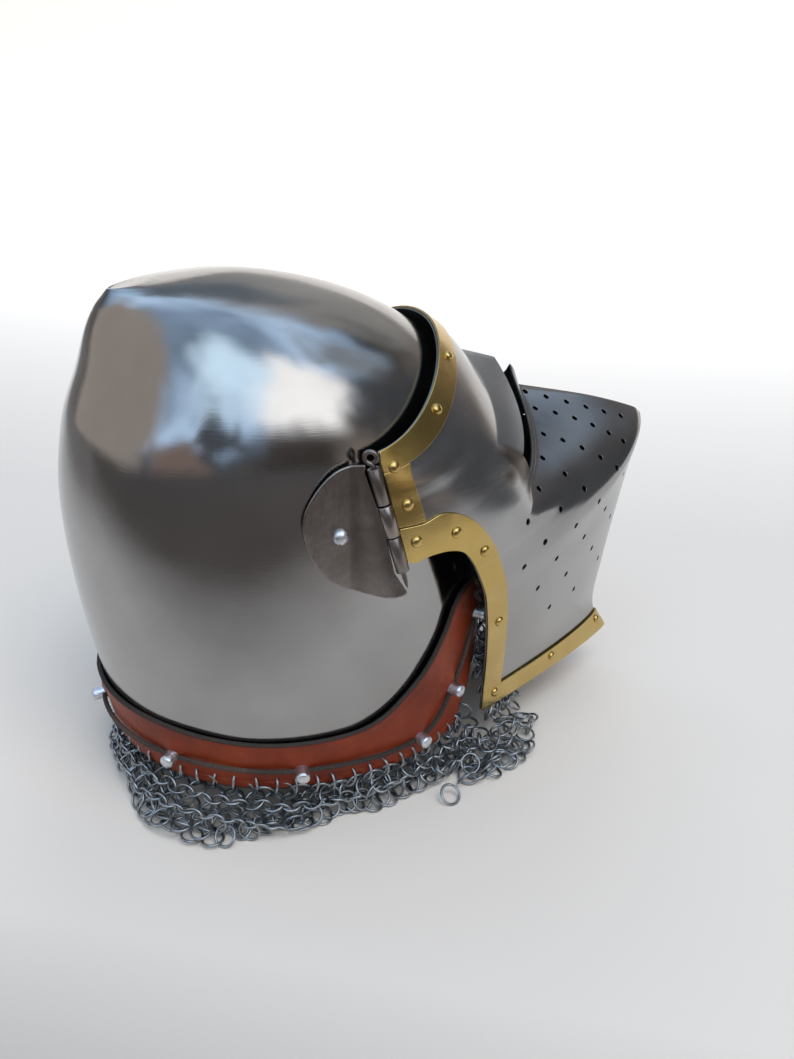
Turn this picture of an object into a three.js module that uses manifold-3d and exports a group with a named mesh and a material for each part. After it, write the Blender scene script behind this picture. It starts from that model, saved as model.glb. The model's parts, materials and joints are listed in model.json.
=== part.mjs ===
// Visored bascinet with a leather vervelle band and a short mail aventail.
// Millimetres, +Z up, the face looks along -Y, the wearer's right is -X.
// Shapes are drawn round the visor's pivot axis (y = 0, z = 0) and lifted onto the surface at the end.
import * as THREE from 'three';
import { mergeVertices } from 'three/addons/utils/BufferGeometryUtils.js';
import Module from 'manifold-3d';

const wasm = await Module();
wasm.setup();

const STEEL = { color: 0xb9bcc0, metalness: 1, roughness: 0.16 };
const DARK_STEEL = { color: 0x6d6661, metalness: 1, roughness: 0.35 };
const BRASS = { color: 0xc9a13b, metalness: 1, roughness: 0.25 };
const LEATHER = { color: 0x8a3317, metalness: 0, roughness: 0.55 };
const LACE = { color: 0x2a1c16, metalness: 0, roughness: 0.8 };
const MAIL = { color: 0x8e959b, metalness: 1, roughness: 0.35 };
const ALUMINIUM = { color: 0xd5d8da, metalness: 1, roughness: 0.25 };

// Driving dimensions.
const FLOOR = -183;
const STEEL_WALL = 1.6;
const VISOR_WALL = 1.3;
const BRASS_WALL = 1.1;
const LEATHER_WALL = 2.6;
const GAP = 0.35;
const RIVET_RADIUS = 3.1;
const RIVET_HEIGHT = 2.1;
const HOLE_RADIUS = 1.7;
const EDGE_STEPS = 10;
const DEGREE = Math.PI / 180;

// Skull sections from the rim up to the apex, each from a front point to a rear point of the middle line.
// Columns: front y, front z, rear y, rear z, half width, power along the length, power across.
const SKULL_SECTIONS = [
  [-114, -158, 116, -158, 101, 2.2, 1.95],
  [-116, -125, 123, -120, 104.5, 2.2, 1.95],
  [-117, -65, 131.5, -62, 108.5, 2.2, 1.95],
  [-112, -5, 134, -5, 110, 2.15, 1.95],
  [-102, 40, 127.5, 38, 107, 2.1, 1.95],
  [-86, 73, 117, 66, 95.5, 2.0, 1.9],
  [-58, 94, 110, 86, 79, 1.9, 1.87],
  [-20, 108.5, 104, 97.5, 60, 1.85, 1.8],
  [26, 116, 99, 103.5, 38, 1.8, 1.7],
  [66, 113, 96.3, 106.5, 17, 1.7, 1.55],
  [94.3, 106.8, 95.1, 106.5, 0.4, 1.6, 1.4],
];

// Visor sections from the chin up to the brow, each from a point of the middle line round to the cheek.
// Columns: middle y, middle z, cheek y, cheek z, half width, roundness, droop.
const VISOR_SECTIONS = [
  [-236, -150, -12.4, -153, 107, 1.13, 1.4],
  [-224.5, -128, -12.4, -132, 108, 1.2, 1.4],
  [-227.5, -90, -12.4, -106, 110, 1.3, 1.35],
  [-234, -38, -12.4, -80, 112.5, 1.4, 1.2],
  [-238.8, -3, -12.4, -66, 114.5, 1.45, 1.12],
  [-242.3, 17, -12.4, -60, 115.5, 1.49, 1.06],
  [-234, 21.5, -12.4, -52, 116, 1.54, 1.04],
  [-200, 31, -12.4, -37, 117, 1.74, 0.96],
  [-149, 41, -12.4, -20, 118.5, 2.15, 0.85],
  [-142.3, 54, -12.5, -13, 120, 2.37, 0.81],
  [-130, 59.5, -13, -2, 122, 2.66, 1.09],
  [-105.5, 66, -14, 10, 122.5, 3.2, 1.5],
  [-93, 79, -11, 26, 119.5, 2.4, 1.8],
  [-78, 89.8, -6.7, 42.5, 115.4, 2.03, 2.14],
];
const LOWER_LIP = 9;
const UPPER_LIP = 10;
const SLOT_END = 34;
const BROW = VISOR_SECTIONS.length - 1;
const CHIN_TRIM_TOP = 0.72;
const BROW_TRIM_LOW = 12.42;

// Breath holes, right side, seen from the side. Columns: first y, first z, last y, last z, bow y, bow z, count.
const HOLE_ROWS = [
  [-152, 37, -221, 18, -1, 0, 6],
  [-154, 29, -214, 6, -3, 2, 6],
  [-151, 18, -214, -15, 0, 4, 6],
  [-142, 9, -213, -48, 3, 4, 6],
  [-130, -2, -211, -82, 3, 4, 6],
  [-114, -13, -182, -92, 0, 2, 5],
  [-116, -43, -155, -93, 0, 0, 3],
];

// Hinge barrel, right side: top and bottom of its axis.
const BARREL_TOP = new THREE.Vector3(-116.6, -15.5, 36);
const BARREL_BOTTOM = new THREE.Vector3(-123, -29.5, -18);
const BARREL_RADIUS = 3.5;
const PIN_RADIUS = 1.25;
const PLATE_X = 110.9;
const PLATE_WALL = 1.6;

// Outlines seen from the side, as y and z.
const FACE_EDGE = [[-150, 45], [-96, 45], [-80, 36], [-75, 14], [-77, -12], [-83, -34], [-92, -50],
  [-97, -72], [-94, -110], [-88, -140], [-84, -170], [-150, -170]];
const BAND_TOP = [[135, -116], [119, -117], [85, -120], [43, -125], [0, -125], [-22, -120], [-40, -108],
  [-54, -94], [-65, -78], [-71, -64]];
const BAND_FRONT = [[-77, -57.5], [-87, -57], [-95, -66], [-97.5, -80], [-95, -110], [-88.5, -140], [-85, -157]];
const BAND_BOTTOM = [[-60, -158], [0, -158.5], [45, -157.5], [85, -155], [112, -153], [135, -152]];
const RIM_BOTTOM = [[-120, -155.5], [0, -156], [45, -155], [85, -152.5], [112, -150.5], [140, -149]];
const SIDE_EDGE = [[-33, -14.5], [-38, -15.5], [-45, -13], [-57, -12.5], [-67.5, -17], [-78, -32], [-87.5, -52],
  [-93, -71], [-97, -91], [-102, -127], [-104, -165]];
const SIDE_TRIM_TOP = [[-26, 4], [-41, 5], [-51, 8], [-62, 6], [-75, -3], [-88, -20], [-97, -38], [-105, -58],
  [-111, -84], [-115, -110], [-117.5, -131], [-118, -165]];

// Vervelles of the right side and the nape, seen from the side, and the mail ring by plan angle.
const VERVELLES = [[-92, -80], [-73, -120], [-50, -142.5], [21, -143], [86, -138], [120, -139]];
const VERVELLE_RADIUS = 3.9;
const VERVELLE_LENGTH = 9.5;
const LACE_END = [-93, -70];
const LACE_RADIUS = 1.35;
const LACE_TAIL_RADIUS = 1.1;
const LACE_STEPS = 32;
// Columns: angle from the front, top radius, top z (0 = just under the band), foot radius.
const MAIL_RING = [
  [0, 131, -134, 153],
  [18, 125, -128, 150],
  [30, 117, -112, 141],
  [36, 111, -152, 134],
  [50, 104, 0, 121],
  [70, 102, 0, 107],
  [90, 101, 0, 106],
  [108, 103, 0, 116],
  [125, 106, 0, 132],
  [143, 109, 0, 131],
  [154, 111, 0, 129],
  [166, 112, 0, 123],
  [180, 112, 0, 122],
];
const MAIL_WALL = 7;
const MAIL_STEPS = 40;
const BAND_END = 32;

// Rivet places seen from the side; the last one sits alone beside the prow.
const BROW_RIVETS = [[-25.5, 35.5], [-55, 55.6], [-74, 74.4]];
const STRAP_RIVET = [-32, 16.5];
const SIDE_RIVETS = [[-37, -3.5], [-60, -3], [-80, -19], [-103, -78]];
const CHIN_RIVETS = [[-113, -142], [-169, -142], [-225, -141]];

function catmullRow(rows, t) {
  const i = Math.min(Math.floor(t), rows.length - 2);
  const f = t - i;
  return rows[i].map((_, k) => {
    const p1 = rows[i][k];
    const p2 = rows[i + 1][k];
    const p0 = i > 0 ? rows[i - 1][k] : 2 * p1 - p2;
    const p3 = i + 2 < rows.length ? rows[i + 2][k] : 2 * p2 - p1;
    const bend = (2 * p0 - 5 * p1 + 4 * p2 - p3) * f * f + (3 * p1 - p0 - 3 * p2 + p3) * f ** 3;
    return 0.5 * (2 * p1 + (p2 - p0) * f + bend);
  });
}

function signedPower(value, power) {
  return Math.sign(value) * Math.abs(value) ** power;
}

function skullPoint(t, angle) {
  const [frontY, frontZ, rearY, rearZ, half, along, across] = catmullRow(SKULL_SECTIONS, t);
  const forward = signedPower(Math.cos(angle), 2 / along);
  const sideways = signedPower(Math.sin(angle), 2 / across);
  const y = (frontY + rearY) / 2 + forward * (frontY - rearY) / 2;
  const z = (frontZ + rearZ) / 2 + forward * (frontZ - rearZ) / 2;
  return new THREE.Vector3(-half * sideways, y, z);
}

function visorPoint(t, angle) {
  const [middleY, middleZ, cheekY, cheekZ, half, roundness, droop] = catmullRow(VISOR_SECTIONS, t);
  const forward = Math.max(Math.cos(angle), 0) ** (2 / roundness);
  const sideways = signedPower(Math.sin(angle), 2 / roundness);
  const y = cheekY + (middleY - cheekY) * forward;
  const z = middleZ + (cheekZ - middleZ) * Math.abs(sideways) ** droop;
  return new THREE.Vector3(-half * sideways, y, z);
}

// Outward normal of a surface from two small steps along it.
function normalAt(surface, t, angle, top) {
  const step = 0.02;
  const low = Math.max(t - step, 0);
  const high = Math.min(t + step, top);
  const up = surface(high, angle).sub(surface(low, angle));
  const round = surface(t, angle + step).sub(surface(t, angle - step));
  return up.cross(round).normalize();
}

function offsetPoint(surface, t, angle, top, distance) {
  return surface(t, angle).addScaledVector(normalAt(surface, t, angle, top), distance);
}

function range(from, to, steps) {
  return Array.from({ length: steps + 1 }, (_, i) => from + (to - from) * i / steps);
}

function solidFrom(points, faces) {
  const vertProperties = new Float32Array(points.flatMap((p) => [p.x, p.y, p.z]));
  const mesh = new wasm.Mesh({ numProp: 3, vertProperties, triVerts: new Uint32Array(faces.flat()) });
  mesh.merge();
  return new wasm.Manifold(mesh);
}

function solidFromGeometry(geometry) {
  const bare = geometry.clone();
  bare.deleteAttribute('normal');
  bare.deleteAttribute('uv');
  const merged = mergeVertices(bare, 1e-4);
  const vertProperties = new Float32Array(merged.attributes.position.array);
  return new wasm.Manifold(new wasm.Mesh({ numProp: 3, vertProperties, triVerts: new Uint32Array(merged.index.array) }));
}

function geometryFromSolid(solid) {
  const mesh = solid.getMesh();
  const geometry = new THREE.BufferGeometry();
  geometry.setAttribute('position', new THREE.BufferAttribute(mesh.vertProperties.slice(), 3));
  geometry.setIndex(new THREE.BufferAttribute(new Uint32Array(mesh.triVerts), 1));
  geometry.computeVertexNormals();
  return geometry;
}

// A wall between two grids of points, rows by columns, closed round its edges.
function wallBetween(outer, inner) {
  const rows = outer.length;
  const columns = outer[0].length;
  const points = [...outer.flat(), ...inner.flat()];
  const base = rows * columns;
  const faces = [];
  const quad = (a, b, c, d) => faces.push([a, b, c], [a, c, d]);
  for (let i = 0; i < rows - 1; i++) {
    for (let j = 0; j < columns - 1; j++) {
      const a = i * columns + j;
      quad(a, a + 1, a + columns + 1, a + columns);
      quad(base + a + columns, base + a + columns + 1, base + a + 1, base + a);
    }
  }
  for (let j = 0; j < columns - 1; j++) {
    const top = (rows - 1) * columns + j;
    quad(base + j, base + j + 1, j + 1, j);
    quad(top, top + 1, base + top + 1, base + top);
  }
  for (let i = 0; i < rows - 1; i++) {
    const left = i * columns;
    const right = left + columns - 1;
    quad(left, left + columns, base + left + columns, base + left);
    quad(base + right, base + right + columns, right + columns, right);
  }
  const solid = solidFrom(points, faces);
  return solid.volume() < 0 ? solidFrom(points, faces.map(([a, b, c]) => [a, c, b])) : solid;
}

function visorWall(ts, angles, inner, outer) {
  const rows = (distance) => ts.map((t) => angles.map((a) => offsetPoint(visorPoint, t, a, BROW, distance)));
  return wallBetween(rows(outer), rows(inner));
}

// An outline seen from the side, run across the whole width or one side.
function sidePrism(outline, fromX = -200, toX = 200) {
  const shape = new THREE.Shape(outline.map(([y, z]) => new THREE.Vector2(y, z)));
  const geometry = new THREE.ExtrudeGeometry(shape, { depth: toX - fromX, bevelEnabled: false });
  const turn = new THREE.Matrix4().makeBasis(
    new THREE.Vector3(0, 1, 0), new THREE.Vector3(0, 0, 1), new THREE.Vector3(1, 0, 0));
  geometry.applyMatrix4(turn);
  geometry.translate(fromX, 0, 0);
  return solidFromGeometry(geometry);
}

function smooth(points, steps) {
  const curve = new THREE.SplineCurve(points.map(([y, z]) => new THREE.Vector2(y, z)));
  return curve.getPoints(steps).map((p) => [p.x, p.y]);
}

// A cylinder-like solid from one point to another.
function rod(from, to, radiusFrom, radiusTo, sides) {
  const along = to.clone().sub(from);
  const geometry = new THREE.CylinderGeometry(radiusTo, radiusFrom, along.length(), sides);
  geometry.translate(0, along.length() / 2, 0);
  const turn = new THREE.Quaternion().setFromUnitVectors(new THREE.Vector3(0, 1, 0), along.normalize());
  geometry.applyQuaternion(turn);
  geometry.translate(from.x, from.y, from.z);
  return solidFromGeometry(geometry);
}

// A low domed head turned about its own axis, standing on a point along a normal.
function turned(profile, sides, at, normal) {
  const geometry = new THREE.LatheGeometry(profile.map(([r, h]) => new THREE.Vector2(r, h)), sides);
  geometry.applyQuaternion(new THREE.Quaternion().setFromUnitVectors(new THREE.Vector3(0, 1, 0), normal));
  geometry.translate(at.x, at.y, at.z);
  return solidFromGeometry(geometry);
}

function mirrored(solid) {
  return solid.mirror([1, 0, 0]);
}

// Where a place seen from the side lies on a surface of the right half.
function placeOn(surface, top, y, z, angleTo) {
  let best = { miss: Infinity };
  let span = { t: top / 2, a: angleTo / 2, dt: top / 2, da: angleTo / 2 };
  for (let round = 0; round < 7; round++) {
    for (const t of range(Math.max(span.t - span.dt, 0), Math.min(span.t + span.dt, top), 24)) {
      for (const a of range(Math.max(span.a - span.da, 0.001), Math.min(span.a + span.da, angleTo), 24)) {
        const p = surface(t, a);
        const miss = Math.hypot(p.y - y, p.z - z);
        if (miss < best.miss) best = { miss, t, a };
      }
    }
    span = { t: best.t, a: best.a, dt: span.dt / 6, da: span.da / 6 };
  }
  return best;
}

function seatOn(surface, top, y, z, distance, angleTo = Math.PI) {
  const { t, a } = placeOn(surface, top, y, z, angleTo);
  return {
    at: offsetPoint(surface, t, a, top, distance),
    normal: normalAt(surface, t, a, top),
  };
}

const pieces = new THREE.Group();

function addPiece(name, solid, look) {
  const mesh = new THREE.Mesh(geometryFromSolid(solid), new THREE.MeshStandardMaterial(look));
  mesh.name = name;
  pieces.add(mesh);
}

const SKULL_TOP = SKULL_SECTIONS.length - 1;
const INNER_APEX = 9.72;
const SKULL_TS = [0, 0.8, 1.6, 2.4, 3.2, 4, 4.8, 5.6, 6.4, 7.2, 8, 9, SKULL_TOP];
const SKULL_ANGLES = range(0, 360, 26).map((d) => d * DEGREE);

// Closed rings of the skull joined to a cap at the apex, with the wall's other face inside.
function skullShell(inner, outer) {
  const angles = SKULL_ANGLES.slice(0, -1);
  const around = angles.length;
  const rings = SKULL_TS.length - 1;
  const ring = (t, distance) => angles.map((a) => offsetPoint(skullPoint, t, a, SKULL_TOP, distance));
  const outerRings = SKULL_TS.map((t) => ring(t, outer));
  const innerRings = SKULL_TS.map((t) => ring(Math.min(t, INNER_APEX), inner));
  const points = [...outerRings.flat(), ...innerRings.flat()];
  const base = (rings + 1) * around;
  const faces = [];
  const quad = (a, b, c, d) => faces.push([a, b, c], [a, c, d]);
  for (let i = 0; i < rings; i++) {
    for (let j = 0; j < around; j++) {
      const k = (j + 1) % around;
      const a = i * around;
      quad(a + j, a + k, a + around + k, a + around + j);
      quad(base + a + around + j, base + a + around + k, base + a + k, base + a + j);
    }
  }
  const middle = (list) => list.reduce((sum, p) => sum.add(p), new THREE.Vector3()).multiplyScalar(1 / around);
  points.push(middle(outerRings[rings]), middle(innerRings[rings]));
  const outerCap = 2 * base;
  for (let j = 0; j < around; j++) {
    const k = (j + 1) % around;
    quad(base + j, base + k, k, j);
    faces.push([rings * around + j, rings * around + k, outerCap]);
    faces.push([base + rings * around + k, base + rings * around + j, outerCap + 1]);
  }
  const solid = solidFrom(points, faces);
  return solid.volume() < 0 ? solidFrom(points, faces.map(([a, b, c]) => [a, c, b])) : solid;
}

const rimRegion = sidePrism([...smooth(RIM_BOTTOM, 12), [140, 140], [-150, 140]]);
const faceCut = sidePrism(smooth(FACE_EDGE.slice(1, -1), 24).concat([[-150, -170], [-150, 45]]));
const pivotHole = rod(new THREE.Vector3(-140, 0, 0), new THREE.Vector3(140, 0, 0), 2.8, 2.8, 8);

function makeSkull() {
  const shell = skullShell(-STEEL_WALL, 0);
  return shell.intersect(rimRegion).subtract(faceCut).subtract(pivotHole);
}

function makeBand() {
  const angles = SKULL_ANGLES.slice(1, -1);
  const ts = SKULL_TS.filter((t) => t < 3);
  const rows = (distance) => ts.map((t) => angles.map((a) => offsetPoint(skullPoint, t, a, SKULL_TOP, distance)));
  const wall = wallBetween(rows(GAP + LEATHER_WALL), rows(GAP));
  const outline = [...smooth(BAND_TOP, 11), ...smooth(BAND_FRONT, 8), ...smooth(BAND_BOTTOM, 7)];
  return wall.intersect(sidePrism(outline));
}

// Visor steel: the whole sheet, its rear edges, the eye slot and the breath holes.
function barrelYAt(z) {
  const f = (BARREL_TOP.z - z) / (BARREL_TOP.z - BARREL_BOTTOM.z);
  return BARREL_TOP.y + (BARREL_BOTTOM.y - BARREL_TOP.y) * f;
}

function rearEdgeOutline(step) {
  const hingeTop = [barrelYAt(38) - BARREL_RADIUS - step, 38];
  const hingeLow = [barrelYAt(-13) - BARREL_RADIUS - step, -13];
  return [hingeTop, hingeLow];
}

const VISOR_TS = [0, 0.36, CHIN_TRIM_TOP, 1.5, 3, 4.4, 5, 5.8, 6.8, 7.8, 9, 10, 10.7, 11.5, BROW_TRIM_LOW, 12.7, BROW];
const VISOR_ANGLES = [...range(-90, -9, 9), 0, ...range(9, 90, 9)].map((d) => d * DEGREE);

function visorRegion() {
  const edge = smooth(SIDE_EDGE, EDGE_STEPS);
  const hinge = rearEdgeOutline(0.5);
  return sidePrism([[-260, 110], [hinge[0][0], 110], ...hinge, ...edge, [-260, -165]]);
}

// The eye slot runs from corner to corner between the two lips.
function slotCut() {
  const angles = range(-SLOT_END, SLOT_END, 8).map((d) => d * DEGREE);
  const rows = (distance) => [LOWER_LIP + 0.04, UPPER_LIP - 0.02].map(
    (t) => angles.map((a) => offsetPoint(visorPoint, t, a, BROW, distance)));
  return wallBetween(rows(6), rows(-6));
}

function breathHoles() {
  const cutters = [];
  for (const [firstY, firstZ, lastY, lastZ, bowY, bowZ, count] of HOLE_ROWS) {
    for (let i = 0; i < count; i++) {
      const f = i / (count - 1);
      const bow = Math.sin(Math.PI * f);
      const y = firstY + (lastY - firstY) * f + bowY * bow;
      const z = firstZ + (lastZ - firstZ) * f + bowZ * bow;
      const { at, normal } = seatOn(visorPoint, LOWER_LIP, y, z, 0, 80 * DEGREE);
      const from = at.clone().addScaledVector(normal, -5);
      const to = at.clone().addScaledVector(normal, 4);
      const hole = rod(from, to, HOLE_RADIUS, HOLE_RADIUS, 4);
      cutters.push(hole, mirrored(hole));
    }
  }
  return wasm.Manifold.union(cutters);
}

function makeVisor() {
  const sheet = visorWall(VISOR_TS, VISOR_ANGLES, -VISOR_WALL, 0);
  return sheet.intersect(visorRegion()).subtract(slotCut()).subtract(breathHoles());
}

const BRASS_IN = GAP + 0.1;
const BRASS_OUT = BRASS_IN + BRASS_WALL;

function makeBrowTrim() {
  const wall = visorWall([BROW_TRIM_LOW, 12.7, BROW], VISOR_ANGLES, BRASS_IN, BRASS_OUT);
  return wall.intersect(visorRegion());
}

function makeChinTrim() {
  const wall = visorWall([0, 0.36, CHIN_TRIM_TOP - 0.02], VISOR_ANGLES, BRASS_IN, BRASS_OUT);
  return wall.intersect(visorRegion());
}

const rightAngles = VISOR_ANGLES.filter((a) => a > 0);

function makeSideTrim() {
  const ts = VISOR_TS.filter((t) => t >= CHIN_TRIM_TOP && t < BROW_TRIM_LOW);
  const wall = visorWall(ts, rightAngles, BRASS_IN, BRASS_OUT);
  const hinge = rearEdgeOutline(0.5);
  const strip = [[hinge[1][0] + 4.4, 4], ...smooth(SIDE_TRIM_TOP, EDGE_STEPS), ...smooth(SIDE_EDGE, EDGE_STEPS).reverse()];
  return wall.intersect(sidePrism(strip, -200, 0)).intersect(visorRegion());
}

function makeStrap() {
  const ts = [...VISOR_TS.filter((t) => t > 5 && t < BROW_TRIM_LOW), BROW_TRIM_LOW - 0.04];
  const wall = visorWall(ts, rightAngles, BRASS_IN, BRASS_OUT);
  const strip = [[-16, 60], [-33, 60], [-34.5, 30], [-42, 6.6], [-20, 5]];
  return wall.intersect(sidePrism(strip, -200, 0)).intersect(visorRegion());
}

// Hinge barrel: three knuckles along one axis, the middle one on the plate.
const barrelAt = (f) => BARREL_TOP.clone().lerp(BARREL_BOTTOM, f);
const KNUCKLES = { upper: [0, 0.34], middle: [0.352, 0.648], lower: [0.66, 1] };

function knuckle([from, to]) {
  return rod(barrelAt(from), barrelAt(to), BARREL_RADIUS, BARREL_RADIUS, 7);
}

const pinBore = rod(barrelAt(-0.2), barrelAt(1.2), PIN_RADIUS + GAP, PIN_RADIUS + GAP, 6);

// Two knuckles on one leaf that lies inside the visor steel.
function makeLeaf() {
  const ts = [8.2, 9, 10, 10.7, 11.5, 12.3, 12.9];
  const angles = VISOR_ANGLES.slice(-4);
  const wall = visorWall(ts, angles, -VISOR_WALL - GAP - 1.5, -VISOR_WALL - GAP - 0.1);
  const leaf = (top, low) => sidePrism([[barrelYAt(top) - 0.5, top], [-36, top], [-40, low], [barrelYAt(low) - 0.5, low]],
    -200, 0);
  const upper = wall.intersect(leaf(34, 18.5));
  const lower = wall.intersect(leaf(-1.5, -11));
  const bridge = wall.intersect(sidePrism([[-29, 34], [-36, 34], [-40, -11], [-36, -11]], -200, 0));
  const tubes = knuckle(KNUCKLES.upper).add(knuckle(KNUCKLES.lower));
  return tubes.add(upper).add(lower).add(bridge).subtract(pinBore);
}

// The plate lies flat over the pivot and turns out to meet the barrel.
function plateX(y, z) {
  const barrel = barrelAt((BARREL_TOP.z - z) / (BARREL_TOP.z - BARREL_BOTTOM.z));
  const ahead = THREE.MathUtils.smoothstep(-y, 4.6, -barrel.y - 3);
  return THREE.MathUtils.lerp(PLATE_X, -barrel.x - PLATE_WALL / 2, ahead);
}

const PLATE_ROUND = [[-11, 37.5], [2, 33.5], [12.5, 23], [18.5, 9], [15, -9], [6, -23], [-7, -30.5], [-21, -32.5],
  [-31.5, -30]];

function makePlate() {
  const ys = [-36, -22, -18, -13, -9, -4.6, 22];
  const zs = [-36, 42];
  const rows = (extra) => zs.map((z) => ys.map((y) => new THREE.Vector3(-plateX(y, z) - extra, y, z)));
  const sheet = wallBetween(rows(PLATE_WALL), rows(0));
  const front = (z, step) => [barrelYAt(z) + step, z];
  const [tabLow, tabTop] = [0.5, 15.5];
  const clear = BARREL_RADIUS + 0.7;
  const outline = [...smooth(PLATE_ROUND, 11), front(-18.6, clear + 1), front(tabLow, clear),
    front(tabLow, 0.4), front(tabTop, 0.4), front(tabTop, clear), front(34, clear + 1.5)];
  const flat = sheet.intersect(sidePrism(outline, -200, 0));
  return flat.add(knuckle(KNUCKLES.middle)).subtract(pinBore).subtract(pivotHole);
}

// Pin with a wire loop for a head and a point below.
function makePin() {
  const axis = BARREL_TOP.clone().sub(BARREL_BOTTOM).normalize();
  const shank = rod(barrelAt(0.99).addScaledVector(axis, -1), barrelAt(0).addScaledVector(axis, 2.6),
    PIN_RADIUS, PIN_RADIUS, 5);
  const point = rod(barrelAt(0.98), barrelAt(1).addScaledVector(axis, -9), PIN_RADIUS, 0.35, 5);
  const loop = new THREE.TorusGeometry(3.1, 1.15, 4, 8);
  loop.rotateY(Math.PI / 2 - 0.5);
  const heart = barrelAt(0).addScaledVector(axis, 4.9);
  loop.translate(heart.x, heart.y, heart.z);
  return shank.add(point).add(solidFromGeometry(loop));
}

function makePivotRivet() {
  const out = new THREE.Vector3(-1, 0, 0);
  const start = new THREE.Vector3(-PLATE_X + 6, 0, 0);
  const plateFace = 6 + PLATE_WALL + 0.3;
  const profile = [[0, 0], [4.2, 0], [4.2, 1.3], [2.3, 1.3], [2.3, plateFace], [4.4, plateFace],
    [4.2, plateFace + 1.4], [3, plateFace + 2.7], [1.4, plateFace + 3.3], [0, plateFace + 3.5]];
  return turned(profile, 8, start, out);
}

function makeDome(surface, top, y, z, distance, angleTo) {
  const { at, normal } = seatOn(surface, top, y, z, distance, angleTo);
  const profile = [[0, 0], [RIVET_RADIUS, 0], [RIVET_RADIUS * 0.7, RIVET_HEIGHT * 0.75], [0, RIVET_HEIGHT]];
  return turned(profile, 6, at, normal);
}

// The lace follows the studs round the band and ends in a knot with two tails on each cheek.
function laceRoute() {
  const seat = LEATHER_WALL + GAP + 0.4 + LACE_RADIUS;
  const studs = [LACE_END, ...VERVELLES].map(([y, z], i, list) => {
    const { t, a } = placeOn(skullPoint, 3, y, z, Math.PI);
    return [t, i === list.length - 1 ? Math.PI : a];
  });
  const left = studs.slice(0, -1).reverse().map(([t, a]) => [t, 2 * Math.PI - a]);
  const scale = 40;
  const curve = new THREE.SplineCurve([...studs, ...left].map(([t, a]) => new THREE.Vector2(a * scale, t * scale)));
  return range(0, 1, LACE_STEPS).map((f) => {
    const p = curve.getPointAt(f);
    return offsetPoint(skullPoint, p.y / scale, p.x / scale, SKULL_TOP, seat);
  });
}

function tubeAlong(points, radius, sides, steps) {
  const path = new THREE.CatmullRomCurve3(points, false, 'centripetal');
  const section = new THREE.Shape(Array.from({ length: sides }, (_, i) => {
    const turn = 2 * Math.PI * i / sides;
    return new THREE.Vector2(radius * Math.cos(turn), radius * Math.sin(turn));
  }));
  return solidFromGeometry(new THREE.ExtrudeGeometry(section, { steps, extrudePath: path, bevelEnabled: false }));
}

const route = laceRoute();

function makeKnot(end, side) {
  const { normal } = seatOn(skullPoint, 3, LACE_END[0], LACE_END[1], 0);
  const out = new THREE.Vector3(-side * normal.x, normal.y, normal.z);
  const heart = end.clone().addScaledVector(out, 2.2).add(new THREE.Vector3(0, 0, 2.5));
  const ball = new THREE.SphereGeometry(3, 6, 4);
  ball.scale(1, 1, 1.5);
  ball.translate(heart.x, heart.y, heart.z);
  const link = tubeAlong([end, end.clone().lerp(heart, 0.5), heart], LACE_RADIUS, 5, 2);
  const tail = ([back, up]) => tubeAlong([
    heart,
    heart.clone().add(new THREE.Vector3(side * 0.8, back * 0.4, up * 0.5)),
    heart.clone().add(new THREE.Vector3(side * 0.8, back, up)),
  ], LACE_TAIL_RADIUS, 4, 2);
  return solidFromGeometry(ball).add(link).add(tail([5, 11])).add(tail([0.5, 12]));
}

function makeLace() {
  return tubeAlong(route, LACE_RADIUS, 5, LACE_STEPS)
    .add(makeKnot(route[0], -1))
    .add(makeKnot(route[route.length - 1], 1));
}

const laceTunnel = tubeAlong(route, LACE_RADIUS + 0.5, 5, LACE_STEPS);

function makeVervelle(y, z, nape) {
  const { t, a } = placeOn(skullPoint, 3, y, z, Math.PI);
  const angle = nape ? Math.PI : a;
  const at = offsetPoint(skullPoint, t, angle, SKULL_TOP, GAP + LEATHER_WALL + 0.3);
  const normal = normalAt(skullPoint, t, angle, SKULL_TOP);
  const r = VERVELLE_RADIUS;
  const profile = [[0, 0], [r, 0], [r, VERVELLE_LENGTH - 2], [r * 0.6, VERVELLE_LENGTH], [0, VERVELLE_LENGTH]];
  return turned(profile, 6, at, normal);
}

// Mail ring: a thick soft wall round the neck, from under the band down to the surface it lies on.
function bandBottomZ(y) {
  const along = THREE.MathUtils.clamp((y - 20) / 115, 0, 1);
  return -158.7 + 6.2 * along;
}

function mailRow(angle) {
  const folded = Math.abs(((angle + 180) % 360) - 180);
  let i = 0;
  while (i < MAIL_RING.length - 2 && MAIL_RING[i + 1][0] < folded) i++;
  const f = (folded - MAIL_RING[i][0]) / (MAIL_RING[i + 1][0] - MAIL_RING[i][0]);
  const eased = f * f * (3 - 2 * f);
  return MAIL_RING[i].map((v, k) => v + (MAIL_RING[i + 1][k] - v) * eased);
}

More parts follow.
